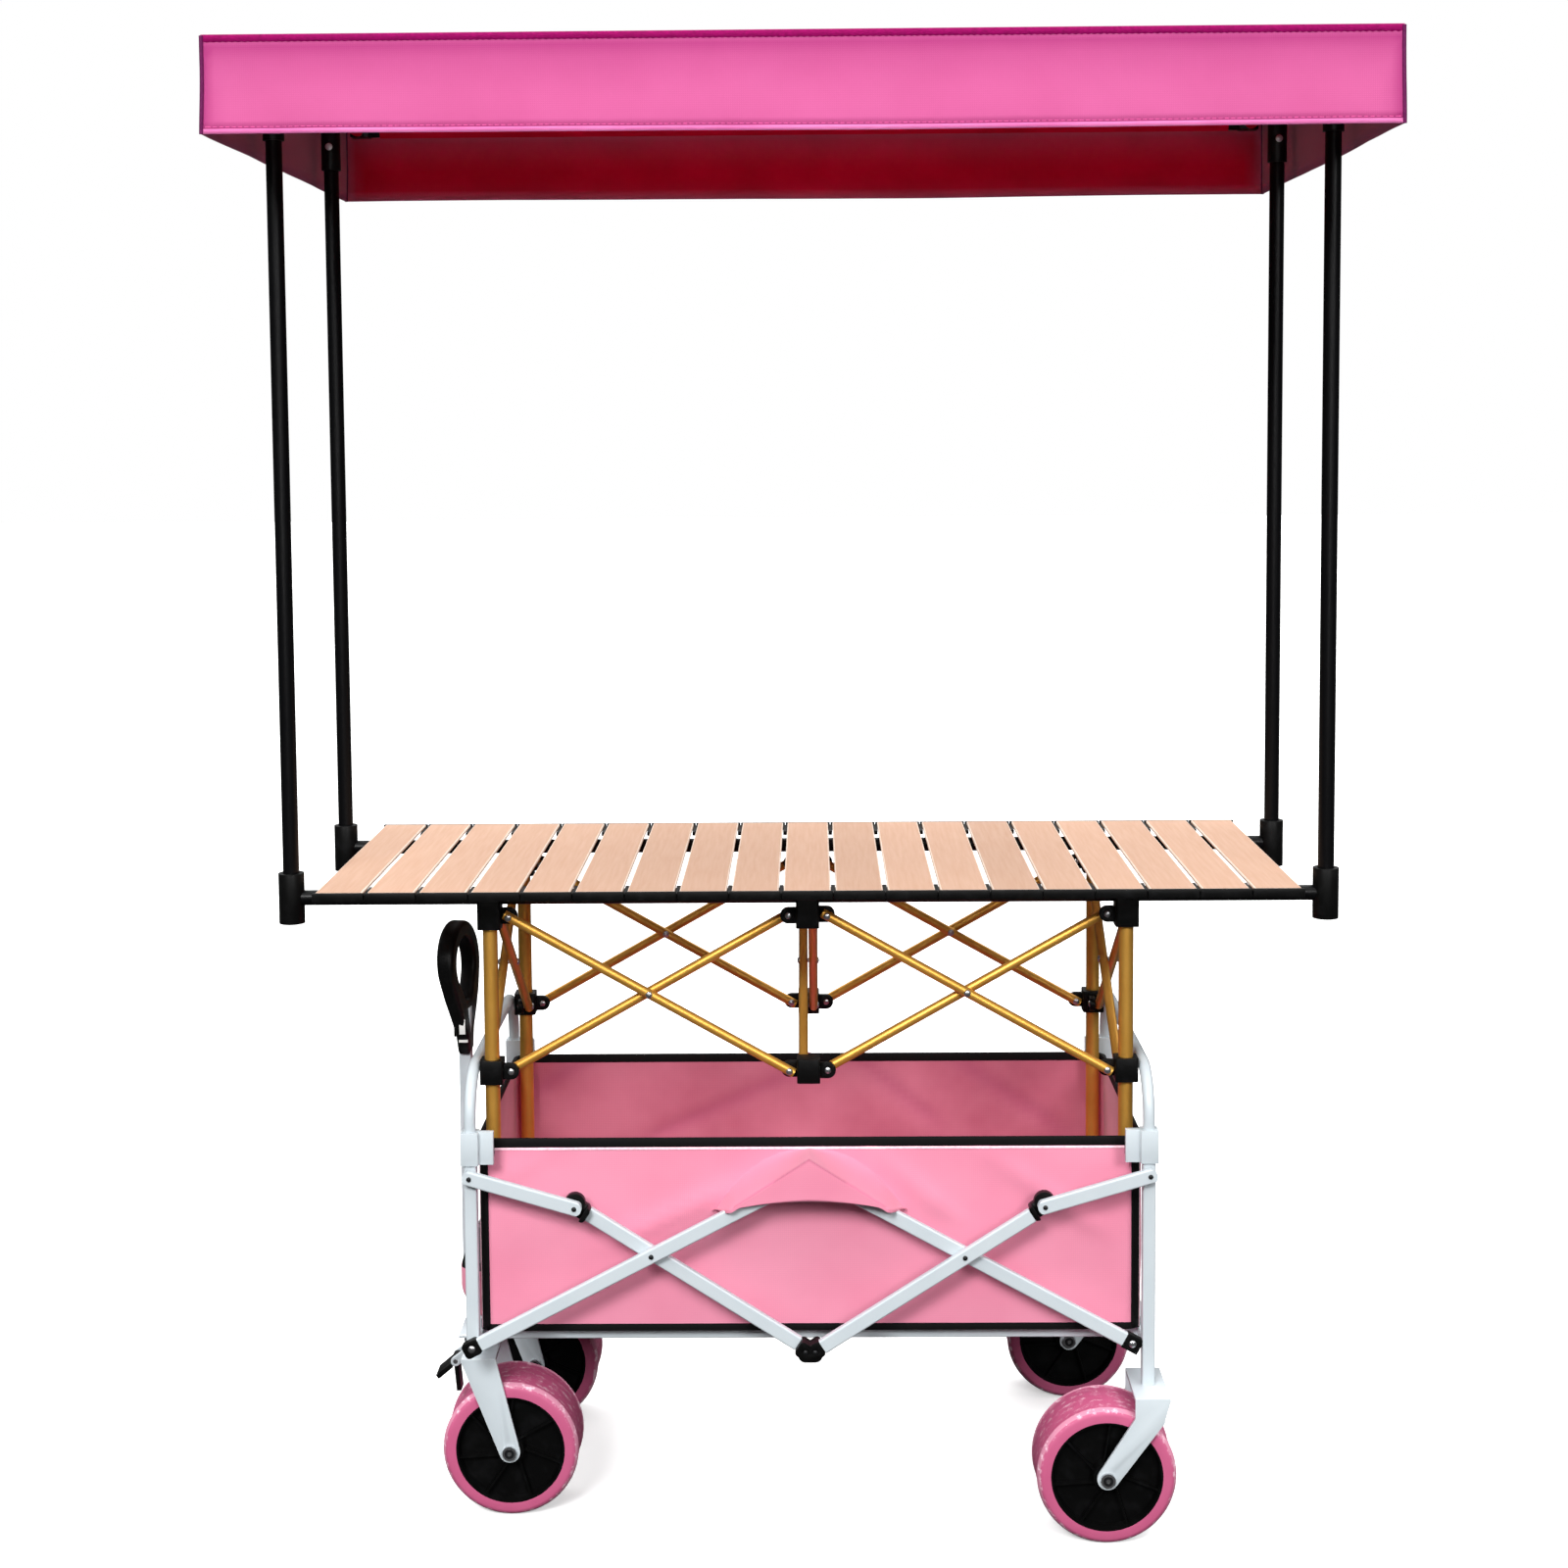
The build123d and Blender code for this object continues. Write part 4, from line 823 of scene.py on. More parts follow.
@dataclass
class Canopy:
    """The roof cloth: one sheet over the top with a valance all round, its bound edges, piping and stitches.

    The cloth's back is painted crimson for light filtered through it, seen in shade, except in the valances at
    the two ends. Their finishes are from end_slot on.
    """

    workshop: Workshop
    body: str = "canopy"
    slot: str = "canopy_cloth"
    wall: float = 1.2 * MM
    sag: float = 14 * MM
    # The valance ripples in and out, and its hem rises and falls: noise, with its scale a metre.
    ripple: float = 5 * MM
    ripple_per_metre: float = 5.5
    ripple_down: float = 0.8
    hem_wave: float = 0.4
    hem_wave_per_metre: float = 3.0
    hem_wave_level: float = 7.3
    spacing: float = 14 * MM
    end_slot: int = 2
    binding: float = 8 * MM
    binding_tooth: float = 0.8 * MM
    binding_pitch: float = 7 * MM
    hem: float = 5 * MM
    # Painted shade: the cloth is painted darker near a seam, where it puckers, and below the binding, in its
    # shadow.
    hem_narrowing: float = 2.0
    seam_reach: float = 20 * MM
    seam_shade: float = 0.8
    upper_reach: float = 62 * MM
    upper_shade: float = 0.55
    upper_fall: float = 1.5
    pocket_gap: float = 1.2 * MM
    pocket_sides: int = 20
    proud: float = 0.6 * MM
    piping_radius: float = 2.4 * MM
    piping_sides: int = 10
    piping_rows: int = 12
    stitch: float = 4.5 * MM
    stitch_level: float = 1.4
    stitch_pitch: float = 7.0 * MM
    stitch_thick: float = 0.8 * MM
    half_x: float = field(init=False)
    half_y: float = field(init=False)
    top: float = field(init=False)
    bottom: float = field(init=False)

    def __post_init__(self) -> None:
        """Take the cover's sizes from the frame."""
        low, high = corners_of("canopy_cover")
        self.half_x = high.x
        self.half_y = high.y
        self.top = high.z
        self.bottom = low.z

    def hang(self, place: Vector) -> Vector:
        """Move a point of the flat-sided cover to where the cloth hangs.

        Args:
            place: the point on the flat-sided cover.

        Returns:
            Its place: the top sags between the rails and the valance ripples towards its hem.
        """
        share_x = min(abs(place.x) / self.half_x, 1.0)
        share_y = min(abs(place.y) / self.half_y, 1.0)
        drop = (self.top - place.z) / (self.top - self.bottom)
        slack = (1 - share_x ** 2) * (1 - share_y ** 2)
        wave = noise.noise(Vector((self.ripple_per_metre * place.x, self.ripple_per_metre * place.y,
                                   self.ripple_down * drop)))
        lift = noise.noise(Vector((self.hem_wave_per_metre * place.x, self.hem_wave_per_metre * place.y,
                                   self.hem_wave_level)))
        push = self.ripple * smooth_step(drop) * wave
        side = 1 - self.hem / self.half_y
        moved = place.copy()
        if share_x > side:
            moved.x += math.copysign(push, place.x)
        if share_y > side:
            moved.y += math.copysign(push, place.y)
        moved.z -= self.sag * slack
        moved.z += self.hem_wave * self.ripple * smooth_step(drop) * lift
        return moved

    def build(self) -> None:
        """Make the cover and its trims."""
        mesh = unit_grid(round(2 * self.half_x / self.spacing), round(2 * self.half_y / self.spacing))
        place = Matrix.Translation((0, 0, self.top)) @ Matrix.Diagonal((self.half_x, self.half_y, 1, 1))
        bmesh.ops.transform(mesh, matrix=place, verts=mesh.verts[:])
        rows = round((self.top - self.bottom) / self.spacing)
        step = Vector((0, 0, (self.bottom - self.top) / rows))
        grow_rows(mesh, [edge for edge in mesh.edges if edge.is_boundary], [step] * rows)
        lay_out_flat(mesh)
        self.paint_seam_shade(mesh)
        for face in mesh.faces:
            if abs(face.normal.x) > 0.5:
                face.material_index = self.end_slot
        shape_points(mesh, self.hang)
        # The back of the top and of the long valances is the painted crimson of light filtered through the
        # cloth.
        looks = [Look.ROOF_CLOTH, Look.ROOF_PAINTED_BACKLIGHT, Look.ROOF_CLOTH, Look.ROOF_CLOTH]
        cover = self.workshop.piece("roof_cover", mesh, looks, self.body, self.slot)
        self.workshop.thicken(cover, self.wall, inner_slot=1)
        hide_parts("canopy_cover")
        trims = [self.top_binding(), self.hem_band(), self.corner_piping(), self.stitches(),
                 self.rail_pockets()]

    def paint_seam_shade(self, mesh: bmesh.types.BMesh) -> None:
        """Paint shade on the valance: darker near the binding, a corner seam or the hem, and in the binding's
        shadow.

        Args:
            mesh: the flat-sided cover.
        """
        layer = mesh.verts.layers.float.new(PAINTED_SHADE)
        for vert in mesh.verts:
            if vert.co.z > self.top - self.proud:
                continue
            below_binding = self.top - self.binding - vert.co.z
            from_corner = max(self.half_x - abs(vert.co.x), self.half_y - abs(vert.co.y))
            above_hem = vert.co.z - self.bottom - self.hem
            nearest = min(below_binding, from_corner, self.hem_narrowing * above_hem)
            # Painted shade: darker near a seam and in the shadow below the binding.
            seam_painted_shade = self.seam_shade * (1 - smooth_step(nearest / self.seam_reach))
            shadow = self.upper_shade * max(0.0, 1 - below_binding / self.upper_reach) ** self.upper_fall
            vert[layer] = max(seam_painted_shade, shadow)

    def rail_pockets(self) -> bpy.types.Object:
        """Make the pockets that the roof's rails run in, sewn under the cover.

        Returns:
            The pockets.
        """
        mesh = bmesh.new()
        for low, high in loose_boxes("roof_rails"):
            size = high - low
            along = 0 if size.x > size.y else 1
            turn = Matrix.Rotation(math.pi / 2, 4, "Y" if along == 0 else "X")
            place = Matrix.Translation((low + high) / 2) @ turn
            radius = size.z / 2 + self.pocket_gap
            bmesh.ops.create_cone(mesh, cap_ends=False, segments=self.pocket_sides, radius1=radius,
                                  radius2=radius, depth=size[along] - 2 * size.z, matrix=place)
        lay_out_flat(mesh)
        return self.workshop.piece("roof_rail_pockets", mesh, [Look.ROOF_PAINTED_BACKLIGHT], self.body, self.slot)

    def top_binding(self) -> bpy.types.Object:
        """Make the dark band along the top edge, with its zigzag lower edge.

        Returns:
            The band.
        """
        out = self.proud / 2
        mesh = rectangle_line(self.half_x + out, self.half_y + out, self.top + out, 0.0,
                              self.binding_pitch / 2)
        edge = mesh.edges[:]
        lower = grow_rows(mesh, edge, [Vector((0, 0, -self.binding))])
        upper = grow_rows(mesh, edge, [Vector((0, 0, 0))])
        for vert in {vert for line in upper for vert in line.verts}:
            if abs(vert.co.x) > self.half_x:
                vert.co.x -= math.copysign(self.binding / 2, vert.co.x)
            if abs(vert.co.y) > self.half_y:
                vert.co.y -= math.copysign(self.binding / 2, vert.co.y)
        for vert in {vert for line in lower for vert in line.verts}:
            turn = math.tau * (vert.co.x + vert.co.y) / self.binding_pitch
            vert.co.z += self.binding_tooth * math.sin(turn)
        lay_out_flat(mesh, self.hang)
        band = self.workshop.piece("roof_top_binding", mesh, [Look.ROOF_BINDING], self.body, self.slot)
        self.workshop.thicken(band, self.proud, offset=0.0)
        return band

    def hem_band(self) -> bpy.types.Object:
        """Make the pale folded hem along the valance's lower edge.

        Returns:
            The hem.
        """
        out = self.proud / 2
        mesh = rectangle_line(self.half_x + out, self.half_y + out, self.bottom + self.hem, 0.0, self.spacing)
        drops = (-self.hem / 2, -self.hem / 2 - self.proud)
        grow_rows(mesh, mesh.edges[:], [Vector((0, 0, drop)) for drop in drops])
        lay_out_flat(mesh, self.hang)
        band = self.workshop.piece("roof_hem", mesh, [Look.ROOF_HEM], self.body, self.slot)
        self.workshop.thicken(band, self.proud, offset=0.0)
        return band

    def corner_piping(self) -> bpy.types.Object:
        """Make the dark piping down the four corner seams.

        Returns:
            The piping.
        """
        mesh = bmesh.new()
        step = Vector((0, 0, (self.bottom - self.top) / self.piping_rows))
        for side_x, side_y in CORNERS:
            start = Matrix.Translation((side_x * self.half_x, side_y * self.half_y, self.top - self.proud))
            ring = bmesh.ops.create_circle(mesh, cap_ends=True, segments=self.piping_sides,
                                           radius=self.piping_radius, matrix=start)["verts"]
            edges = {edge for vert in ring for edge in vert.link_edges}
            last = grow_rows(mesh, edges, [step] * self.piping_rows)
            bmesh.ops.edgeloop_fill(mesh, edges=last)
        lay_out_flat(mesh, self.hang)
        return self.workshop.piece("roof_corner_piping", mesh, [Look.ROOF_PIPING], self.body, self.slot)

    def stitches(self) -> bpy.types.Object:
        """Sew the row of stitches above the hem, all round.

        Returns:
            The stitches.
        """
        mesh = bmesh.new()
        z = self.bottom + self.stitch_level * self.hem
        size = (self.stitch, self.stitch_thick, self.stitch_thick)
        runs = ((self.half_x, self.half_y, 0.0), (self.half_y, self.half_x, math.pi / 2))
        for side in SIDES:
            for half_run, far, turn in runs:
                count = int(2 * (half_run - self.hem) / self.stitch_pitch)
                for number in range(count + 1):
                    run = (number - count / 2) * self.stitch_pitch
                    place = Matrix.Rotation(turn, 4, "Z") @ Matrix.Translation((run, side * far, z))
                    add_block(mesh, place, size)
        lay_out_flat(mesh, self.hang)
        return self.workshop.piece("roof_stitches", mesh, [Look.THREAD], self.body, self.slot)


@dataclass
class Basket:
    """The wagon's sewn basket: one shell of cloth with bound edges and vertical tapes near its corners."""

    workshop: Workshop
    body: str = "wagon"
    slot: str = "basket_cloth"
    corner: float = 18 * MM
    wall: float = 2.4 * MM
    spacing: float = 9 * MM
    # The walls wrinkle in broad slanting folds with finer ones on them: noise, with its scales a metre.
    wrinkle: float = 4.0 * MM
    broad_per_metre: float = 3.0
    broad_up: float = 5.0
    broad_lean: float = 2.2
    broad_spread: float = 1.6
    fine_per_metre: tuple[float, float, float] = (14.0, 9.0, 16.0)
    fine_share: float = 0.3
    drawn_in: float = 0.35
    end_share: float = 0.7
    crease: float = 5.0 * MM
    crease_width: float = 12 * MM
    crease_fade: float = 3.0
    crease_shade: float = 0.5
    # Each crease of the long walls, by the X and Z of its two ends.
    creases: tuple[tuple[float, float, float, float], ...] = (
        (-40 * MM, 458 * MM, -205 * MM, 382 * MM),
        (70 * MM, 488 * MM, 155 * MM, 415 * MM),
        (-315 * MM, 488 * MM, -372 * MM, 450 * MM),
        (230 * MM, 470 * MM, 330 * MM, 400 * MM),
    )
    rim_tape: float = 11 * MM
    rim_tape_thick: float = 5 * MM
    tape_round: float = 0.3
    bottom_tape: float = 9 * MM
    piping: float = 3.2 * MM
    proud: float = 0.8 * MM
    side_tape: float = 12 * MM
    side_tape_turn: float = 11 * MM
    side_tape_rise: float = 1.5
    side_tape_points: tuple[float, ...] = (-1.0, -0.5, 0.0, 0.5, 1.0)
    side_tape_rows: int = 20
    half_x: float = field(init=False)
    half_y: float = field(init=False)
    rim: float = field(init=False)
    bottom: float = field(init=False)

    def __post_init__(self) -> None:
        """Take the basket's sizes from the frame."""
        low, high = corners_of("basket")
        self.half_x = high.x
        self.half_y = high.y
        self.rim = high.z
        self.bottom = low.z

    def hang(self, place: Vector) -> Vector:
        """Move a point of the flat-sided basket to where its cloth hangs.

        Args:
            place: the point on the flat-sided basket.

        Returns:
            Its place: the walls bow and wrinkle between the rim and the bottom.
        """
        share = (place.z - self.bottom) / (self.rim - self.bottom)
        free = max(0.0, math.sin(math.pi * min(max(share, 0.0), 1.0)))
        broad = Vector((self.broad_per_metre * place.x + self.broad_lean * place.z,
                        self.broad_per_metre * place.y,
                        self.broad_up * place.z - self.broad_spread * abs(place.x)))
        fine = Vector(scale * part for scale, part in zip(self.fine_per_metre, place))
        folds = noise.noise(broad) + self.fine_share * noise.noise(fine)
        push = self.wrinkle * free * (folds - self.drawn_in)
        push -= self.crease * free * self.near_crease(place)
        moved = place.copy()
        if abs(place.y) > self.half_y - self.proud:
            moved.y += math.copysign(push, place.y)
        elif abs(place.x) > self.half_x - self.proud:
            moved.x += math.copysign(self.end_share * push, place.x)
        return moved

    def near_crease(self, place: Vector) -> float:
        """Say how near a point of a long wall is to one of the slanting creases.

        Args:
            place: the point.

        Returns:
            From 0 far from them to 1 on one of them.
        """
        flat = Vector((place.x, place.z))
        share = 0.0
        for x0, z0, x1, z1 in self.creases:
            foot, along = geometry.intersect_point_line(flat, Vector((x0, z0)), Vector((x1, z1)))
            beyond = max(0.0, -along, along - 1)
            away = (flat - foot.to_2d()).length / self.crease_width
            share = max(share, math.exp(-away ** 2 - (self.crease_fade * beyond) ** 2))
        return share

    def ring(self, name: str, look: Look, low: float, high: float, out: float,
             thick: float) -> bpy.types.Object:
        """Make a tape that runs round the basket.

        Args:
            name: the piece's name.
            look: its finish.
            low: the height of its lower edge.
            high: the height of its upper edge.
            out: how far its middle lies outside the wall's outer face.
            thick: its thickness.

        Returns:
            The tape.
        """
        mesh = rectangle_line(self.half_x + out, self.half_y + out, low, self.corner, self.spacing)
        grow_rows(mesh, mesh.edges[:], [Vector((0, 0, (high - low) / 2))] * 2)
        lay_out_flat(mesh, self.hang)
        tape = self.workshop.piece(name, mesh, [look], self.body, self.slot)
        self.workshop.thicken(tape, thick, offset=0.0)
        self.workshop.round_edges(tape, self.tape_round * thick)
        return tape

    def side_tapes(self, name: str, look: Look, turn: float, width: float, out: float) -> bpy.types.Object:
        """Make the four upright tapes that run up the rounded corners.

        Args:
            name: the piece's name.
            look: their finish.
            turn: how far round the corner their middles lie, from where the long wall ends.
            width: their width.
            out: how far they stand proud of the wall.

        Returns:
            The tapes.
        """
        mesh = bmesh.new()
        low = self.bottom + self.proud
        reach = self.corner + out / 2
        step = Vector((0, 0, (self.rim - self.rim_tape - low) / self.side_tape_rows))
        for side_x, side_y in CORNERS:
            line = []
            for share in self.side_tape_points:
                angle = (turn + share * width / 2) / self.corner
                x = self.half_x - self.corner + reach * math.sin(angle)
                y = self.half_y - self.corner + reach * math.cos(angle)
                line.append(mesh.verts.new((side_x * x, side_y * y, low)))
            first = [mesh.edges.new(pair) for pair in zip(line, line[1:])]
            grow_rows(mesh, first, [step] * self.side_tape_rows)
        lay_out_flat(mesh, self.hang)
        tape = self.workshop.piece(name, mesh, [look], self.body, self.slot)
        self.workshop.thicken(tape, out, offset=0.0)
        return tape

    def build(self) -> None:
        """Make the basket's cloth and its tapes."""
        mesh = rectangle_line(self.half_x, self.half_y, self.bottom, self.corner, self.spacing)
        foot = mesh.edges[:]
        rows = round((self.rim - self.bottom) / self.spacing)
        grow_rows(mesh, foot, [Vector((0, 0, (self.rim - self.bottom) / rows))] * rows)
        bmesh.ops.edgeloop_fill(mesh, edges=foot)
        lay_out_flat(mesh)
        # Painted shade: the rear wall is darker along its creases.
        layer = mesh.verts.layers.float.new(PAINTED_SHADE)
        for vert in mesh.verts:
            if vert.co.y > self.half_y - self.proud:
                vert[layer] = self.crease_shade * self.near_crease(vert.co)
        shape_points(mesh, self.hang)
        # The inner face takes the darker rose of painted shade.
        cloth = self.workshop.piece("basket_shell", mesh, [Look.BASKET_CLOTH, Look.BASKET_BACK_PAINTED_SHADE], self.body,
                                    self.slot)
        self.workshop.thicken(cloth, self.wall, inner_slot=1)
        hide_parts("basket")
        tape_bottom = self.rim - self.rim_tape
        pale_turn = self.side_tape_turn + self.side_tape / 2 + self.piping / 2
        trims = [
            self.ring("basket_rim_tape", Look.BLACK_TAPE, tape_bottom, self.rim + self.proud, -self.wall / 2,
                      self.rim_tape_thick),
            # The pale piping under the rim tape is partly a painted highlight along the tape's edge.
            self.ring("basket_rim_piping", Look.PALE_PIPING_AND_HIGHLIGHT, tape_bottom - self.piping, tape_bottom, 0.0,
                      2 * self.proud),
            self.ring("basket_bottom_tape", Look.BLACK_TAPE, self.bottom, self.bottom + self.bottom_tape, 0.0,
                      2 * self.proud),
            self.side_tapes("basket_side_tapes", Look.BLACK_TAPE, self.side_tape_turn, self.side_tape,
                            self.side_tape_rise * self.proud),
            self.side_tapes("basket_side_piping", Look.PALE_PIPING_AND_HIGHLIGHT, pale_turn, self.piping, self.proud),
        ]


@dataclass
class HubFlaps:
    """The walls' cloth where it is tented forward over the upper hubs and hangs down in front."""

    workshop: Workshop
    basket: Basket
    body: str = "wagon"
    slot: str = "basket_cloth"
    wall: float = 1.6 * MM
    faces_across: int = 72
    faces_down: int = 32
    seam_width: float = 122 * MM
    seam_below_rim: float = 14 * MM
    seam_drop: float = 86 * MM
    seam_curve: float = 2.5
    face_half: float = 95 * MM
    tent_share: float = 0.72
    ridge_share: float = 0.5
    ridge_below: float = 4 * MM
    wing_drop: float = 17 * MM
    end_drop: float = 9.5 * MM
    hem: float = 4 * MM
    sewn_in: float = 0.8 * MM
    clear: float = 0.05
    seam_reach: float = 0.03
    seam_shade_strength: float = 0.6
    front: float = field(init=False)
    edge: float = field(init=False)
    ridge: float = field(init=False)

    def __post_init__(self) -> None:
        """Take the flaps' sizes from the frame."""
        low, high = corners_of("hub_flaps")
        self.front = high.y
        self.edge = low.z
        self.ridge = high.z - self.ridge_below

    def build(self) -> None:
        """Make the flap on each long side."""
        for name, side in (("hub_flap_front", -1), ("hub_flap_rear", 1)):
            mesh = unit_grid(self.faces_across, self.faces_down)
            layer = mesh.verts.layers.float.new(PAINTED_SHADE)
            for vert in mesh.verts:
                across = vert.co.x
                down = (1 - vert.co.y) / 2
                # Painted shade along the ridge seam and the hem.
                vert[layer] = self.painted_shade(across, down)
                vert.co = self.drape(across, down, side)
            lay_out_flat(mesh)
            flap = self.workshop.piece(name, mesh, [Look.BASKET_CLOTH], self.body, self.slot, smooth_deg=80.0)
            self.workshop.thicken(flap, self.wall, offset=0.0)
            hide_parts("hub_flaps")

    def painted_shade(self, across: float, down: float) -> float:
        """Say how much painted shade darkens a point of a flap near the seam along the tent's ridge and near
        its hem.

        Args:
            across: from -1 at the left end to 1 at the right.
            down: from 0 at the seam on the wall to 1 at the lower edge.

        Returns:
            How dark the painted shade along the seams is there.
        """
        if abs(across) > self.tent_share:
            return 0.0
        away = min(abs(down - self.ridge_share), 1 - down)
        return self.seam_shade_strength * max(0.0, 1 - away / self.seam_reach)

    def drape(self, across: float, down: float, side: int) -> Vector:
        """Give a point of a flap from how far across and down the cloth it is.

        Args:
            across: from -1 at the left end to 1 at the right.
            down: from 0 at the seam on the wall to 1 at the lower edge.
            side: -1 on the front wall, 1 on the rear wall.

        Returns:
            The place: on the wall at the seam, forward over the hub to the ridge, then down. Past the tent's
            ends the cloth runs back to the wall behind the bars.
        """
        part = abs(across)
        tent = min(part / self.tent_share, 1.0)
        wing = max(0.0, part - self.tent_share) / (1 - self.tent_share)
        seam_x = across * self.seam_width
        seam_z = self.basket.rim - self.seam_below_rim - self.seam_drop * part ** self.seam_curve
        ridge_x = tent * self.face_half + wing * (self.seam_width - self.face_half)
        ridge_z = self.ridge - tent * (self.ridge - self.edge + self.end_drop) - wing * self.wing_drop
        upper = min(down / self.ridge_share, 1.0)
        x = seam_x + (math.copysign(ridge_x, across) - seam_x) * upper
        z = seam_z + (ridge_z - seam_z) * upper
        wall_y = abs(self.basket.hang(Vector((x, side * self.basket.half_y, z))).y)
        forward = upper ** 2 * (1 - smooth_step(wing))
        sunk = self.sewn_in * max(0.0, 1 - forward / self.clear)
        y = wall_y + (self.front - wall_y) * forward - sunk
        if down > self.ridge_share:
            hung = (down - self.ridge_share) / (1 - self.ridge_share)
            lower_z = min(ridge_z - self.hem * (1 - wing), self.edge - self.end_drop * tent ** 2)
            z += (lower_z - z) * hung
        return Vector((x, side * y, z))


@dataclass
class EndPouch:
    """The pouch on the left end: cloth below, an elastic band across it, and net that leans to the wall."""

    workshop: Workshop
    body: str = "wagon"
    slot: str = "pouch_cloth"
    wall: float = 1.5 * MM
    faces_across: int = 28
    faces_up: int = 32
    band_low: float = 0.50
    band_high: float = 0.60
    # How the pouch stands out from its foot to its top, as shares of its depth and height.
    foot: float = 0.12
    foot_rise: float = 0.86
    foot_top: float = 0.28
    foot_curve: float = 0.7
    full: float = 0.98
    lean: float = 0.14
    lean_curve: float = 1.2
    side_curve: int = 5
    top_sag: float = 5 * MM

    def build(self) -> None:
        """Make the pouch."""
        low, high = corners_of("end_pouch")
        mesh = unit_grid(self.faces_across, self.faces_up)
        middle = (low.y + high.y) / 2
        half = (high.y - low.y) / 2
        for vert in mesh.verts:
            across = vert.co.x
            up = (vert.co.y + 1) / 2
            depth = (high.x - low.x) * self.bulge(up) * (1 - abs(across) ** self.side_curve)
            z = low.z + (high.z - low.z) * up - self.top_sag * up * (1 - across ** 2)
            vert.co = Vector((high.x - depth, middle + across * half, z))
        for face in mesh.faces:
            up = (face.calc_center_median().z - low.z) / (high.z - low.z)
            face.material_index = 0 if up < self.band_low else 1 if up < self.band_high else 2
        lay_out_flat(mesh)
        looks = [Look.BASKET_CLOTH, Look.BLACK_TAPE, Look.POUCH_NET]
        pouch = self.workshop.piece("end_pouch_bag", mesh, looks, self.body, self.slot)
        self.workshop.thicken(pouch, self.wall, offset=-1.0)
        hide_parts("end_pouch")

    def bulge(self, up: float) -> float:
        """Say how far the pouch stands out at a height.

        Args:
            up: from 0 at its bottom to 1 at its top.

        Returns:
            The share of its full depth.
        """
        if up < self.band_low:
            risen = math.sin(math.pi / 2 * min(up / self.foot_top, 1.0))
            return self.foot + self.foot_rise * risen ** self.foot_curve
        above = (up - self.band_low) / (1 - self.band_low)
        return self.full - (self.full - self.lean) * above ** self.lean_curve


@dataclass
class Tyres:
    """The four moulded tyres: flat sidewalls, a pale shoulder line that is partly a painted highlight and a
    finely scored tread.
    """

    workshop: Workshop
    slot: str = "pink_tyre"
    steps: int = 128
    shoulder: float = 8 * MM
    shoulder_points: tuple[float, ...] = (0.25, 0.5, 0.75)
    rib: float = 0.9 * MM
    rib_width: float = 4 * MM
    crown: float = 0.8 * MM
    groove: float = 0.5 * MM
    groove_columns: int = 4
    groove_steps: int = 3
    tread_columns: int = 19
    tread_slack: float = 0.1 * MM
    bare_tread: float = 0.2
    worn_row: float = 1.0
    shoulder_pale_and_highlight: float = 1.42

    def build(self) -> None:
        """Make a tyre for each wheel."""
        for wheel in WHEELS:
            name = f"tyre_{wheel}"
            low, high = corners_of(name)
            hub_low, hub_high = corners_of(f"hub_{wheel}")
            mesh = self.turn((high.z - low.z) / 2, (high.y - low.y) / 2, (hub_high.z - hub_low.z) / 2)
            bmesh.ops.translate(mesh, vec=(low + high) / 2, verts=mesh.verts[:])
            lay_out_flat(mesh)
            tyre = self.workshop.piece(f"{name}_moulded", mesh, [Look.TYRE], f"wheel_{wheel}", self.slot,
                                       smooth_deg=35.0)
            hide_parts(name)

    def turn(self, radius: float, half_width: float, inner_radius: float) -> bmesh.types.BMesh:
        """Turn a tyre's section round its axle.

        Args:
            radius: the tyre's radius.
            half_width: half its width.
            inner_radius: the radius of the hub inside it.

        Returns:
            The tyre, round the origin with its axle along Y.
        """
        tread_half = half_width - self.shoulder
        half = [(-half_width, inner_radius), (-half_width, radius - self.shoulder)]
        for share in self.shoulder_points:
            angle = share * math.pi / 2
            half.append((-tread_half - self.shoulder * math.cos(angle),
                         radius - self.shoulder + self.shoulder * math.sin(angle) - self.rib))
        half.append((-tread_half - self.rib_width / 2, radius - self.rib))
        half.append((-tread_half, radius))
        half.append((-tread_half + self.rib_width / 2, radius - self.rib))
        columns = self.tread_columns
        reach = tread_half - self.rib_width
        tread = [(reach * (2 * number / (columns - 1) - 1), radius - self.crown) for number in range(columns)]
        mesh = spin_section(half + tread + [(-y, z) for y, z in reversed(half)], self.steps)
        self.cut_tread(mesh, radius, reach)
        return mesh

    def cut_tread(self, mesh: bmesh.types.BMesh, radius: float, reach: float) -> None:
        """Sink the grooves between the tread blocks, mark the tread for its scuffs and the shoulders for their
        pale line, partly a painted highlight.

        Args:
            mesh: the tyre.
            radius: its radius.
            reach: how far the tread goes to each side.
        """
        layer = mesh.verts.layers.float.new(TREAD_SCUFFS_AND_HIGHLIGHT)
        for vert in mesh.verts:
            far = math.hypot(vert.co.x, vert.co.z)
            if far < radius - self.shoulder / 2:
                continue
            # The shoulders get the pale line, partly a painted highlight.
            if abs(vert.co.y) > reach + self.tread_slack:
                vert[layer] = self.shoulder_pale_and_highlight
                continue
            column = round((vert.co.y / reach + 1) / 2 * (self.tread_columns - 1))
            turn = round(math.atan2(vert.co.z, vert.co.x) / math.tau * self.steps)
            past_groove = column % self.groove_columns
            vert[layer] = self.worn_row if past_groove == self.groove_columns // 2 else self.bare_tread
            if (turn + column // 2) % self.groove_steps == 0 or past_groove == 0:
                shrink = (far - self.groove) / far
                vert.co.x *= shrink
                vert.co.z *= shrink


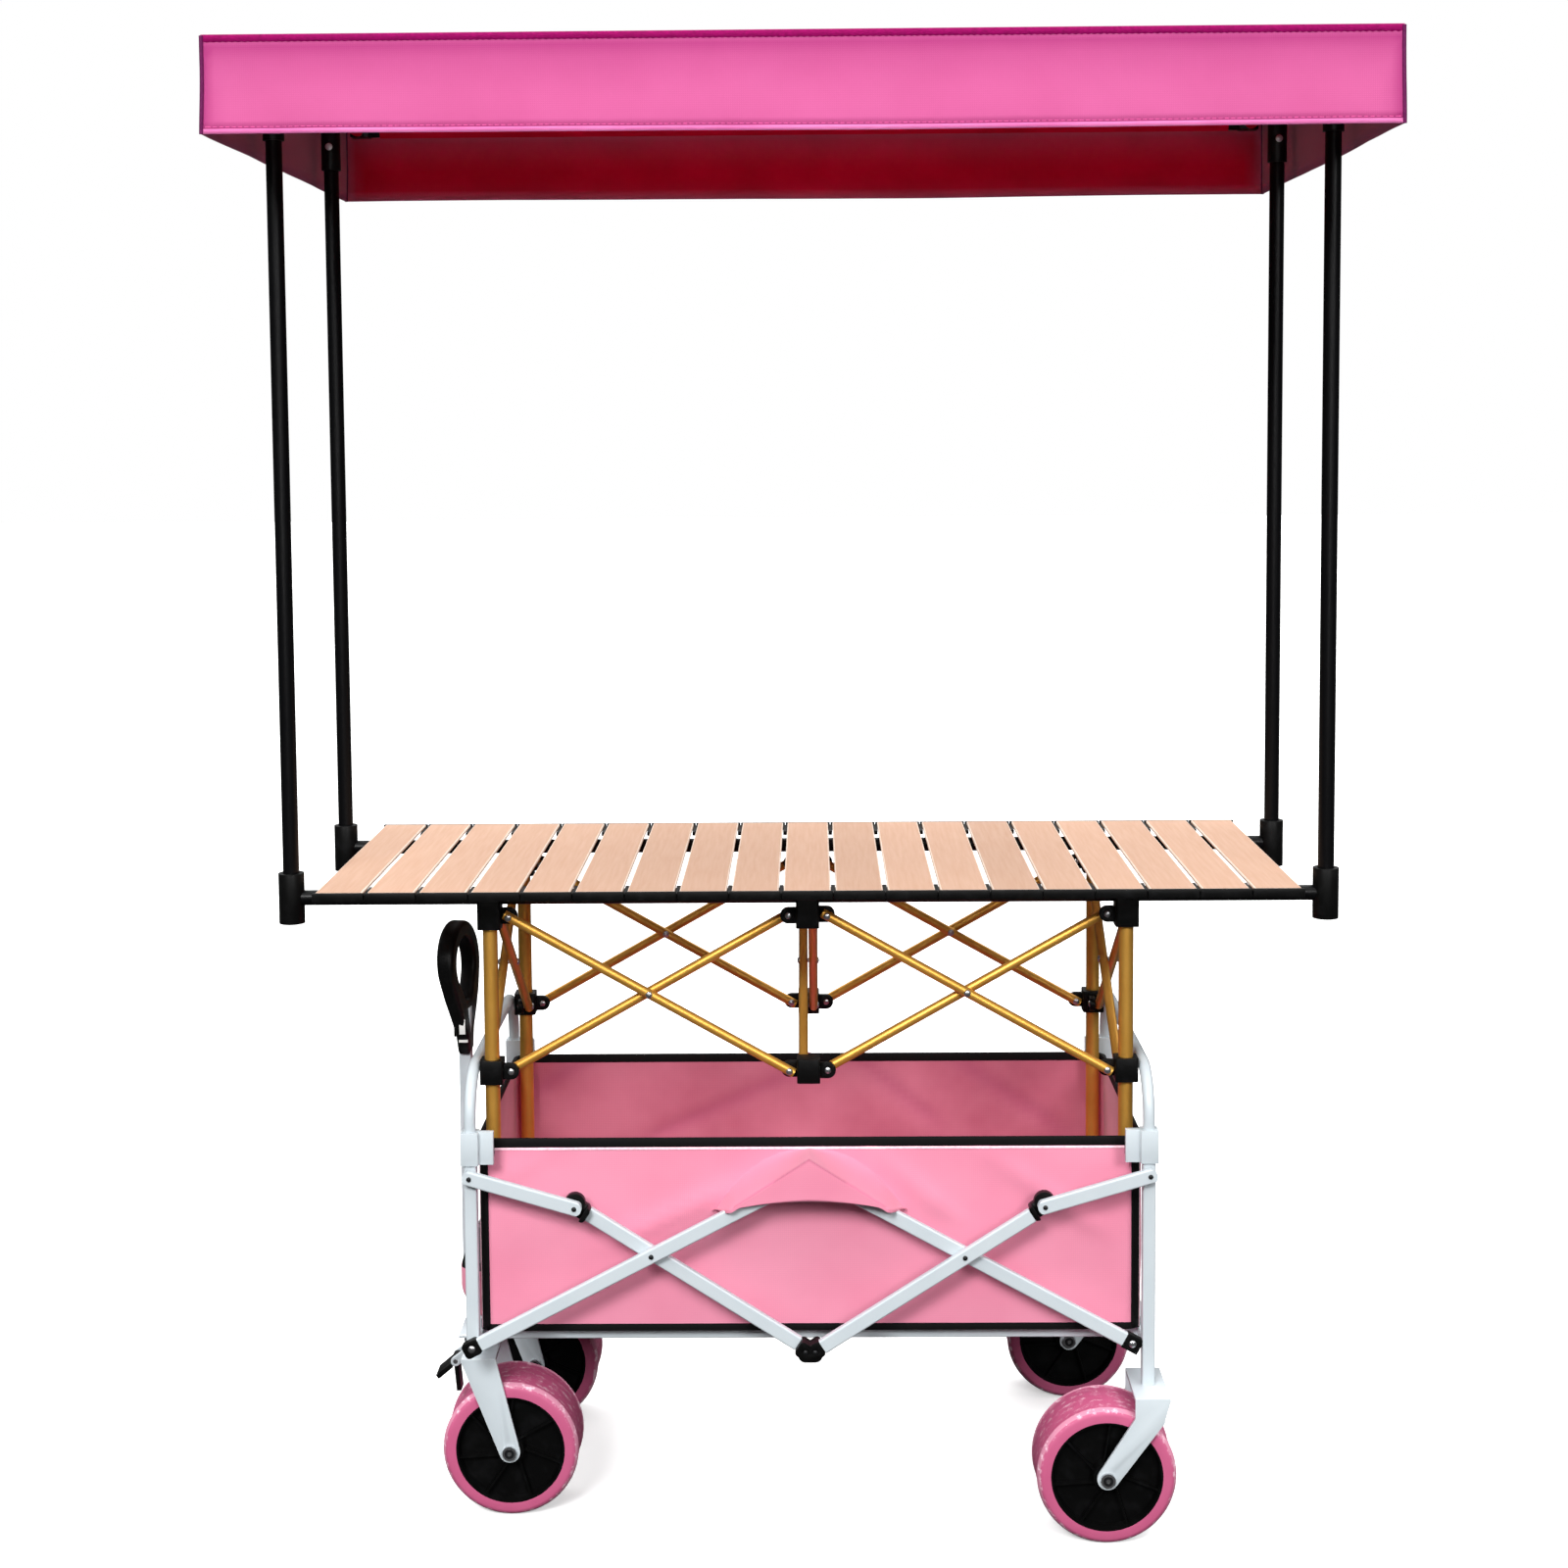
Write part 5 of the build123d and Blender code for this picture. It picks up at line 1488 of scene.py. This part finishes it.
@dataclass
class Hubs:
    """The four moulded hubs: a dished disc with thin vanes round its boss, inside a narrow rim."""

    workshop: Workshop
    slot: str = "hub_plastic"
    steps: int = 96
    rim: float = 2.5 * MM
    rim_recess: float = 1.0 * MM
    dish: float = 12 * MM
    boss: float = 17 * MM
    bore: float = 5.3 * MM
    vanes: int = 7
    vane: float = 2.2 * MM
    vane_recess: float = 3.5 * MM
    vane_tilt_deg: float = 9.0

    def build(self) -> None:
        """Make a hub for each wheel."""
        for wheel in WHEELS:
            name = f"hub_{wheel}"
            low, high = corners_of(name)
            mesh = self.turn((high.z - low.z) / 2, (high.y - low.y) / 2)
            bmesh.ops.translate(mesh, vec=(low + high) / 2, verts=mesh.verts[:])
            hub = self.workshop.piece(f"{name}_moulded", mesh, [Look.HUB_PLASTIC], f"wheel_{wheel}",
                                      self.slot)
            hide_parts(name)

    def turn(self, radius: float, half_width: float) -> bmesh.types.BMesh:
        """Turn a hub's section round its axle and set the vanes in its dishes.

        Args:
            radius: the hub's radius.
            half_width: half its width at the boss.

        Returns:
            The hub, round the origin with its axle along Y.
        """
        floor = half_width - self.dish
        rim_face = half_width - self.rim_recess
        half = [(-half_width, self.bore), (-half_width, self.boss), (-floor, self.boss + self.rim),
                (-floor, radius - 2 * self.rim), (-rim_face, radius - self.rim), (-rim_face, radius)]
        mesh = spin_section(half + [(-y, z) for y, z in reversed(half)], self.steps)
        tilt = Matrix.Rotation(math.radians(self.vane_tilt_deg), 4, "Y")
        length = radius - self.rim - self.boss
        depth = self.dish - self.vane_recess
        for face in SIDES:
            for number in range(self.vanes):
                turn = Matrix.Rotation(math.tau * number / self.vanes, 4, "Y")
                reach = Matrix.Translation((0, face * (floor + depth / 2), self.boss + length / 2))
                add_block(mesh, turn @ reach @ tilt, (self.vane, depth, length))
        return mesh


@dataclass
class AxleRecessShades:
    """Dark rings round the heads of the axle bolts, painted shade for the recess round each head, which leave
    only the middle of each head bare.
    """

    workshop: Workshop
    slot: str = "steel"
    sides: int = 32
    outer: float = 6.2 * MM
    inner: float = 2.8 * MM
    lip: float = 0.6 * MM
    head: float = 4 * MM
    carriers: tuple[tuple[str, str], ...] = (
        ("left_front", "caster_front"),
        ("left_rear", "caster_rear"),
        ("right_front", "wagon"),
        ("right_rear", "wagon"),
    )

    def build(self) -> None:
        """Make the rings at both ends of each axle, one piece for each wheel."""
        tall = self.head + 2 * self.lip
        for wheel, body in self.carriers:
            low, high = corners_of(f"tyre_{wheel}")
            middle = (low + high) / 2
            node = "fixed_axles" if body == "wagon" else f"caster_pins_{wheel.split('_')[1]}"
            reach = max(abs(corner.y - middle.y) for box in loose_boxes(node) for corner in box
                        if abs(corner.y - middle.y) < high.y - low.y)
            mesh = bmesh.new()
            for side in SIDES:
                place = Matrix.Translation(middle + Vector((0, side * (reach - self.head / 2), 0)))
                bmesh.ops.create_circle(mesh, cap_ends=False, segments=self.sides, radius=self.outer,
                                        matrix=place @ Matrix.Translation((0, -tall / 2, 0))
                                        @ Matrix.Rotation(math.pi / 2, 4, "X"))
                self.raise_ring(mesh, tall)
            bmesh.ops.recalc_face_normals(mesh, faces=mesh.faces[:])
            # Painted shade: dark rings stand for the shaded recess round each bolt head.
            self.workshop.piece(f"axle_recess_painted_shade_{wheel}", mesh, [Look.DARK_STEEL], body, self.slot)

    def raise_ring(self, mesh: bmesh.types.BMesh, tall: float) -> None:
        """Raise a ring from the last circle of a mesh: its outer wall, its two faces and its bore.

        Args:
            mesh: the mesh whose loose circle is the ring's outer edge.
            tall: the ring's height along Y.
        """
        circle = [edge for edge in mesh.edges if edge.is_wire]
        row = circle
        for rise, share in ((tall, 1.0), (0.0, self.inner / self.outer), (-tall, 1.0)):
            row = grow_rows(mesh, row, [Vector((0, rise, 0))])
            points = list({vert for edge in row for vert in edge.verts})
            centre = sum((vert.co for vert in points), Vector()) / len(points)
            for vert in points:
                vert.co.x = centre.x + (vert.co.x - centre.x) * share
                vert.co.z = centre.z + (vert.co.z - centre.z) * share
        bmesh.ops.bridge_loops(mesh, edges=row + circle)


@dataclass
class HandleGrip:
    """The moulded loop of the pull handle: slim at its neck, turned and leaning outwards towards its top."""

    workshop: Workshop
    body: str = "handle"
    slot: str = "black_grip"
    turn_deg: float = -11.0
    turn_quick: float = 3.0
    lean: float = 10 * MM
    neck_share: float = 0.72
    long_edge: float = 20 * MM
    # Each plug's width, its height and how far above the neck's foot it is.
    plugs: tuple[tuple[float, float, float], ...] = (
        (8 * MM, 20 * MM, 40 * MM),
        (12 * MM, 4 * MM, 19 * MM),
    )
    plug_thick: float = 1.6 * MM
    plug_round: float = 0.5 * MM
    look_from: float = 100 * MM

    def build(self) -> None:
        """Make the grip and the white plugs in its neck."""
        low, high = corners_of("handle_grip")
        mesh = merged_copy("handle_grip")
        bmesh.ops.triangulate(mesh, faces=[face for face in mesh.faces if len(face.verts) > 4])
        long_edges = [edge for edge in mesh.edges if edge.calc_length() > self.long_edge]
        bmesh.ops.bisect_edges(mesh, edges=long_edges, cuts=3)
        bmesh.ops.triangulate(mesh, faces=mesh.faces[:])
        middle = (low + high) / 2
        shape_points(mesh, lambda place: self.bend(place, middle, low.z, high.z))
        bmesh.ops.recalc_face_normals(mesh, faces=mesh.faces[:])
        tree = BVHTree.FromBMesh(mesh)
        plugs = bmesh.new()
        for width, height, above in self.plugs:
            start = Vector((middle.x, low.y - self.look_from, low.z + above))
            hit = tree.ray_cast(start, Vector((0, 1, 0)))[0]
            add_block(plugs, Matrix.Translation(hit), (width, self.plug_thick, height))
        round_all(plugs, self.plug_round)
        grip = self.workshop.piece("handle_grip_loop", mesh, [Look.BLACK_GRIP], self.body, self.slot,
                                   smooth_deg=55.0)
        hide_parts("handle_grip")
        self.workshop.piece("handle_grip_plugs", plugs, [Look.WHITE_NYLON], self.body, self.slot)

    def bend(self, place: Vector, middle: Vector, bottom: float, top: float) -> Vector:
        """Move a point of the plain loop to where the moulded one has it.

        Args:
            place: the point.
            middle: the middle of the loop's box.
            bottom: the height of the neck's foot.
            top: the height of the loop's top.

        Returns:
            Its new place.
        """
        share = smooth_step((place.z - bottom) / (top - bottom))
        thick = self.neck_share + (1.0 - self.neck_share) * share
        angle = math.radians(self.turn_deg) * smooth_step(self.turn_quick * share)
        out = thick * (place.x - middle.x)
        along = place.y - middle.y
        x = middle.x + out * math.cos(angle) - along * math.sin(angle) - self.lean * share
        y = middle.y + along * math.cos(angle) + out * math.sin(angle)
        return Vector((x, y, place.z))


@dataclass
class Rivets:
    """Set rivets with domed heads, placed where the frame's rivets are."""

    workshop: Workshop
    slot: str = "steel"
    dome: float = 1.25
    small_head: float = 0.62
    head_rise: float = 0.4
    head_limit: float = 0.3
    shank: float = 0.6
    shank_sides: int = 14
    dome_sides: int = 16
    dome_rings: int = 10
    bracket_height: float = 260 * MM
    bracket_reach: float = 300 * MM
    nodes: tuple[tuple[str, str], ...] = (
        ("brace_rivets", "wagon"),
        ("table_rivets", "table"),
        ("sleeve_rivets", "canopy"),
    )

    def build(self) -> None:
        """Make the rivets of each unit, one piece for each of the frame's rivet nodes."""
        for node, body in self.nodes:
            mesh = bmesh.new()
            for low, high in loose_boxes(node):
                bare = node != "brace_rivets" or self.on_bracket(low, high)
                before = set(mesh.faces)
                self.set_rivet(mesh, low, high, 1.0 if bare else self.small_head)
                for face in set(mesh.faces) - before:
                    face.material_index = 0 if bare else 1
            piece = self.workshop.piece(f"{node}_domed", mesh, [Look.ZINC, Look.DARK_STEEL], body, self.slot)
            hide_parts(node)

    def on_bracket(self, low: Vector, high: Vector) -> bool:
        """Say whether a rivet is one of the bare ones on the brackets at the posts' feet."""
        return high.z < self.bracket_height and min(abs(low.x), abs(high.x)) > self.bracket_reach

    def set_rivet(self, mesh: bmesh.types.BMesh, low: Vector, high: Vector, share: float) -> None:
        """Add one rivet: a shank with a domed head at each end.

        Args:
            mesh: the mesh that it is added to.
            low: the lowest corner of the rivet's box.
            high: the highest corner.
            share: the size of its heads, as a share of the box.
        """
        size = high - low
        middle = (low + high) / 2
        axis = max(range(3), key=lambda number: abs(size[number] - (sum(size) - size[number]) / 2))
        radius = share * (sum(size) - size[axis]) / 4
        head = min(self.head_rise * radius, self.head_limit * size[axis])
        turns = (Matrix.Rotation(math.pi / 2, 4, "Y"), Matrix.Rotation(-math.pi / 2, 4, "X"),
                 Matrix.Identity(4))
        place = Matrix.Translation(middle) @ turns[axis]
        shank = self.shank * radius
        bmesh.ops.create_cone(mesh, cap_ends=True, segments=self.shank_sides, radius1=shank, radius2=shank,
                              depth=size[axis] - 2 * head, matrix=place)
        for end in SIDES:
            seat = Matrix.Translation((0, 0, end * (size[axis] / 2 - head)))
            squash = Matrix.Diagonal((radius, radius, end * self.dome * head, 1))
            points = bmesh.ops.create_uvsphere(mesh, u_segments=self.dome_sides, v_segments=self.dome_rings,
                                               radius=1.0, matrix=place @ seat @ squash)["verts"]
            cap = {face for vert in points for face in vert.link_faces}
            bmesh.ops.recalc_face_normals(mesh, faces=list(cap))


SLOT_LOOKS: dict[str, Look] = {
    "webbing": Look.BLACK_TAPE,
    "floor_cloth": Look.FLOOR_CLOTH,
    "white_frame": Look.WHITE_COAT,
    "gold_frame": Look.GOLD_TUBE,
    "black_tube": Look.BLACK_COAT,
    "black_plastic": Look.BLACK_NYLON,
    "black_grip": Look.BLACK_GRIP,
    "slat_wood": Look.BEECH,
    "hub_plastic": Look.HUB_PLASTIC,
    "steel": Look.ZINC,
}


@dataclass
class RigidPieces:
    """The frame's own rigid pieces: finishes for those that stay, rounded copies of plates and mouldings.

    Classes of their own make the nodes listed as others. The roundings are by node.
    """

    workshop: Workshop
    sharp_deg: float = 35.0
    smooth_deg: float = 50.0
    level: float = 0.98
    overhang: float = -0.5
    slat_edge_band: float = 2.2 * MM
    slat_taper: float = 6.5 * MM
    link_length: float = 52 * MM
    link_gap: float = 0.4 * MM
    link_round: float = 0.8 * MM
    others: tuple[str, ...] = ("handle_grip", *(f"hub_{wheel}" for wheel in WHEELS), "brace_rivets",
                               "table_rivets", "sleeve_rivets")
    rounding: dict[str, float] = field(default_factory=lambda: {
        "fixed_forks": 1.2 * MM,
        "caster_fork_front": 1.2 * MM,
        "caster_fork_rear": 1.2 * MM,
        "caster_mounts": 1.0 * MM,
        "collars": 1.0 * MM,
        "basket_hooks": 1.5 * MM,
        "brace_elbows": 1.2 * MM,
        "post_brackets": 1.2 * MM,
        "brace_hubs": 1.2 * MM,
        "handle_bracket": 1.0 * MM,
        "handle_latch": 0.8 * MM,
        "pouch_strap": 0.8 * MM,
        "brake_pedal_front": 1.2 * MM,
        "brake_pedal_rear": 1.2 * MM,
        "slat_caps": 0.8 * MM,
        "pole_sockets": 1.0 * MM,
        "table_top_hubs": 1.2 * MM,
        "leg_sliders": 1.2 * MM,
        "centre_hubs": 1.2 * MM,
        "roof_fittings": 0.8 * MM,
    })

    def build(self) -> None:
        """Dress the nodes that stay and make the rounded copies."""
        record = frame["record"]
        slots = {part["node"]: part["material_slot"] for part in record["subparts"]}
        bodies = {node: body for body, nodes in record["behaviour"]["bodies"].items() for node in nodes}
        for node, slot in slots.items():
            if slot not in SLOT_LOOKS or node in self.others:
                continue
            if node == "slat_links":
                self.long_links(bodies[node], slot)
            elif node == "slats":
                self.shaped_slats(bodies[node], slot)
            elif node in self.rounding:
                self.rounded_copy(node, bodies[node], slot)
            else:
                material = self.workshop.wardrobe.get(SLOT_LOOKS[slot])
                for place in frame["nodes"][node].material_slots:
                    place.material = material

    def long_links(self, body: str, slot: str) -> None:
        """Make the links between the slats as long strips that end at the slats' caps.

        Args:
            body: the body that they ride on.
            slot: the record's slot for their finish.
        """
        mesh = bmesh.new()
        end = corners_of("slats")[1].y
        for low, high in loose_boxes("slat_links"):
            side = math.copysign(1, low.y)
            size = Vector((high.x - low.x - 2 * self.link_gap, self.link_length, high.z - low.z))
            middle = Vector(((low.x + high.x) / 2, side * (end - self.link_length / 2), (low.z + high.z) / 2))
            add_block(mesh, Matrix.Translation(middle), size)
        round_all(mesh, self.link_round)
        links = self.workshop.piece("slat_links_long", mesh, [SLOT_LOOKS[slot]], body, slot)
        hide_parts("slat_links")

    def shaped_slats(self, body: str, slot: str) -> None:
        """Copy the slats with undersides that taper to a thin edge and a painted highlight round each top.

        Args:
            body: the body that they are part of.
            slot: their material slot.
        """
        mesh = merged_copy("slats")
        low, high = corners_of("slats")
        lower = [edge for edge in mesh.edges
                 if all(vert.co.z < low.z + self.slat_edge_band for vert in edge.verts)
                 and abs(edge.verts[0].co.y - edge.verts[1].co.y) > edge.calc_length() / 2]
        bmesh.ops.bevel(mesh, geom=lower, offset=self.slat_taper, offset_type="OFFSET", affect="EDGES",
                        segments=1, profile=0.5, material=-1, clamp_overlap=True)
        # Painted highlight on the faces round each slat's top.
        for face in mesh.faces:
            if face.normal.z > self.overhang and face.calc_center_median().z > high.z - self.slat_edge_band:
                face.material_index = int(face.normal.z < self.level)
        slats = self.workshop.piece("slats_shaped", mesh, [Look.BEECH, Look.BEECH_PAINTED_HIGHLIGHT], body, slot,
                                    self.smooth_deg)
        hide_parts("slats")

    def rounded_copy(self, node: str, body: str, slot: str) -> None:
        """Copy a node's shape with its outer edges rounded, to stand for the node.

        Args:
            node: the node's name.
            body: the body that it is part of.
            slot: its material slot.
        """
        mesh = merged_copy(node)
        sharp = [edge for edge in mesh.edges
                 if edge.is_manifold and edge.is_convex
                 and edge.calc_face_angle() > math.radians(self.sharp_deg)]
        rounded = bmesh.ops.bevel(mesh, geom=sharp, offset=self.rounding[node], offset_type="OFFSET",
                                  affect="EDGES", segments=2, profile=0.5, material=-1,
                                  clamp_overlap=True)["faces"]
        looks = [SLOT_LOOKS[slot]]
        # Painted highlight on the rounded edges of white parts.
        if slot == "white_frame":
            looks.append(Look.WHITE_PAINTED_HIGHLIGHT)
            for face in rounded:
                face.material_index = 1
        copy = self.workshop.piece(f"{node}_rounded", mesh, looks, body, slot, self.smooth_deg)
        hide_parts(node)


@dataclass(frozen=True)
class SoftLight:
    """One softbox of the studio."""

    name: str
    place: tuple[float, float, float]
    aim: tuple[float, float, float]
    width: float
    height: float
    watts: float
    spread_deg: float = 180.0

    def build(self) -> None:
        """Hang the light and aim it."""
        lamp = bpy.data.lights.new(self.name, "AREA")
        lamp.shape = "RECTANGLE"
        lamp.size = self.width
        lamp.size_y = self.height
        lamp.energy = self.watts
        lamp.spread = math.radians(self.spread_deg)
        holder = bpy.data.objects.new(self.name, lamp)
        way = Vector(self.aim) - Vector(self.place)
        turn = way.to_track_quat("-Z", "Y").to_matrix().to_4x4()
        holder.matrix_world = Matrix.Translation(self.place) @ turn
        bpy.context.scene.collection.objects.link(holder)


@dataclass(frozen=True)
class PaintedFloor(Finish):
    """Matt white paint on a studio floor: pale to the eye, throwing only part of its light back up."""

    bounce: str = "303030"
    lift: float = 0.4
    roller_mm: float = 6.0
    gloss: float = 0.1

    def pattern(self, tree: bpy.types.NodeTree, shader: bpy.types.Node) -> None:
        """Darken the paint for light that goes on from it, thin its shadows and roll its texture on.

        Args:
            tree: the material's node tree.
            shader: its principled shader.
        """
        places = add_node(tree, "ShaderNodeTexCoord")
        paths = add_node(tree, "ShaderNodeLightPath")
        face = add_node(tree, "ShaderNodeMix",
                        {"data_type": "RGBA", 6: linear(self.bounce), 7: linear(self.colour)},
                        {0: paths.outputs["Is Camera Ray"]})
        roller = add_node(tree, "ShaderNodeTexNoise",
                          {"Scale": grains_per_metre(self.roller_mm), "Detail": 2.0},
                          {"Vector": places.outputs["Object"]})
        relief = add_node(tree, "ShaderNodeBump", {"Strength": 0.05, "Distance": 0.1 * MM},
                          {"Height": roller.outputs["Fac"]})
        glow = add_node(tree, "ShaderNodeMath", {"operation": "MULTIPLY", 1: self.lift},
                        {0: paths.outputs["Is Camera Ray"]})
        tree.links.new(face.outputs[2], shader.inputs["Base Color"])
        tree.links.new(glow.outputs["Value"], shader.inputs["Emission Strength"])
        tree.links.new(relief.outputs["Normal"], shader.inputs["Normal"])
        shader.inputs["Emission Color"].default_value = linear(self.colour)
        shader.inputs["Specular IOR Level"].default_value = self.gloss


@dataclass
class Studio:
    """A pale floor in a light tent, bright overhead and above the sides and rear, with softboxes in front."""

    floor_side: float = 60.0
    floor_faces: int = 8
    floor_colour: str = "F9F9F9"
    floor_roughness: float = 0.85
    tent_side: float = 0.02
    tent_top: float = 4.3
    tent_rise: float = 5.0
    tent_open: float = 1.5
    open_ways: tuple[float, float] = (0.2, 0.9)
    open_levels: tuple[float, float] = (0.22, 0.55)
    seen_tent: float = 1.0
    lights: tuple[SoftLight, ...] = (
        SoftLight("key_softbox", (-2.4, -7.1, 5.4), (0.0, 0.0, 0.8), 2.6, 2.2, 600.0),
        SoftLight("fill_softbox", (3.4, -7.3, 4.2), (0.0, 0.0, 0.8), 2.6, 2.2, 312.0),
        SoftLight("roof_softbox", (0.0, -3.7, 1.2), (0.0, 0.42, 1.76), 1.8, 0.3, 1.5, spread_deg=40.0),
    )

    def build(self) -> None:
        """Lay the floor and light it."""
        bpy.context.scene.view_settings.view_transform = "Standard"
        self.lay_floor()
        self.light_world()
        for light in self.lights:
            light.build()

    def lay_floor(self) -> None:
        """Lay the pale floor."""
        mesh = unit_grid(self.floor_faces, self.floor_faces)
        bmesh.ops.scale(mesh, vec=Vector((self.floor_side / 2, self.floor_side / 2, 1)), verts=mesh.verts[:])
        data = bpy.data.meshes.new("studio_floor")
        mesh.to_mesh(data)
        mesh.free()
        floor = bpy.data.objects.new("studio_floor", data)
        bpy.context.scene.collection.objects.link(floor)
        paint = PaintedFloor("painted_floor_white", self.floor_colour, self.floor_roughness).build()
        data.materials.append(paint)

    def light_world(self) -> None:
        """Put the tent round the cart, plain white where the camera sees it."""
        world = bpy.data.worlds.new("studio_world")
        bpy.context.scene.world = world
        world.use_nodes = True
        tree = world.node_tree
        tree.nodes.clear()
        places = add_node(tree, "ShaderNodeTexCoord")
        way = add_node(tree, "ShaderNodeSeparateXYZ", {}, {"Vector": places.outputs["Generated"]})
        level = add_node(tree, "ShaderNodeMath", {"operation": "MAXIMUM", 1: 0.0}, {0: way.outputs["Z"]})
        steep = add_node(tree, "ShaderNodeMath", {"operation": "POWER", 1: self.tent_rise},
                         {0: level.outputs["Value"]})
        tent = add_node(tree, "ShaderNodeMapRange", {"To Min": self.tent_side, "To Max": self.tent_top},
                        {"Value": steep.outputs["Value"]})
        aside = add_node(tree, "ShaderNodeMath", {"operation": "ABSOLUTE"}, {0: way.outputs["X"]})
        turned = add_node(tree, "ShaderNodeMath", {"operation": "ADD"},
                          {0: aside.outputs["Value"], 1: way.outputs["Y"]})
        round_it = add_node(tree, "ShaderNodeMapRange",
                            {"interpolation_type": "SMOOTHSTEP", "From Min": self.open_ways[0],
                             "From Max": self.open_ways[1]},
                            {"Value": turned.outputs["Value"]})
        above = add_node(tree, "ShaderNodeMapRange",
                         {"interpolation_type": "SMOOTHSTEP", "From Min": self.open_levels[0],
                          "From Max": self.open_levels[1], "To Max": self.tent_open},
                         {"Value": level.outputs["Value"]})
        opened = add_node(tree, "ShaderNodeMath", {"operation": "MULTIPLY"},
                          {0: round_it.outputs["Result"], 1: above.outputs["Result"]})
        whole = add_node(tree, "ShaderNodeMath", {"operation": "ADD"},
                         {0: tent.outputs["Result"], 1: opened.outputs["Value"]})
        paths = add_node(tree, "ShaderNodeLightPath")
        power = add_node(tree, "ShaderNodeMix", {3: self.seen_tent},
                         {0: paths.outputs["Is Camera Ray"], 2: whole.outputs["Value"]})
        glow = add_node(tree, "ShaderNodeBackground", {"Color": (1.0, 1.0, 1.0, 1.0)},
                        {"Strength": power.outputs[0]})
        add_node(tree, "ShaderNodeOutputWorld", {}, {"Surface": glow.outputs["Background"]})


@dataclass
class Viewpoint:
    """Where the photograph was taken from, found by fitting points of the frame to it."""

    place: tuple[float, float, float] = (7.9 * MM, -3117.9 * MM, 1387.3 * MM)
    pitch_deg: float = 4.543
    yaw_deg: float = 0.668
    roll_deg: float = -0.433
    focal_px: float = 2443.8
    centre_px: float = 620.7
    sensor_mm: float = 36.0
    sees_to: float = 200.0

    def build(self) -> None:
        """Set up the camera."""
        lens = bpy.data.cameras.new("photo_camera")
        lens.sensor_width = self.sensor_mm
        lens.lens = self.sensor_mm * self.focal_px / PHOTO_SIDE
        lens.shift_y = (self.centre_px - PHOTO_SIDE / 2) / PHOTO_SIDE
        lens.clip_end = self.sees_to
        holder = bpy.data.objects.new("photo_camera", lens)
        turn = (Matrix.Rotation(math.radians(self.yaw_deg), 4, "Z")
                @ Matrix.Rotation(math.radians(90 - self.pitch_deg), 4, "X")
                @ Matrix.Rotation(math.radians(self.roll_deg), 4, "Z"))
        holder.matrix_world = Matrix.Translation(self.place) @ turn
        bpy.context.scene.collection.objects.link(holder)
        bpy.context.scene.camera = holder


def main() -> None:
    """Build the cart's looks in order."""
    logging.basicConfig(level=logging.INFO, format="%(name)s: %(message)s")
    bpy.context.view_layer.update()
    workshop = Workshop(Wardrobe())
    Viewpoint().build()
    Studio().build()
    RigidPieces(workshop).build()
    Canopy(workshop).build()
    basket = Basket(workshop)
    basket.build()
    HubFlaps(workshop, basket).build()
    EndPouch(workshop).build()
    Tyres(workshop).build()
    Hubs(workshop).build()
    AxleRecessShades(workshop).build()
    HandleGrip(workshop).build()
    Rivets(workshop).build()


if __name__ == "__main__":
    main()
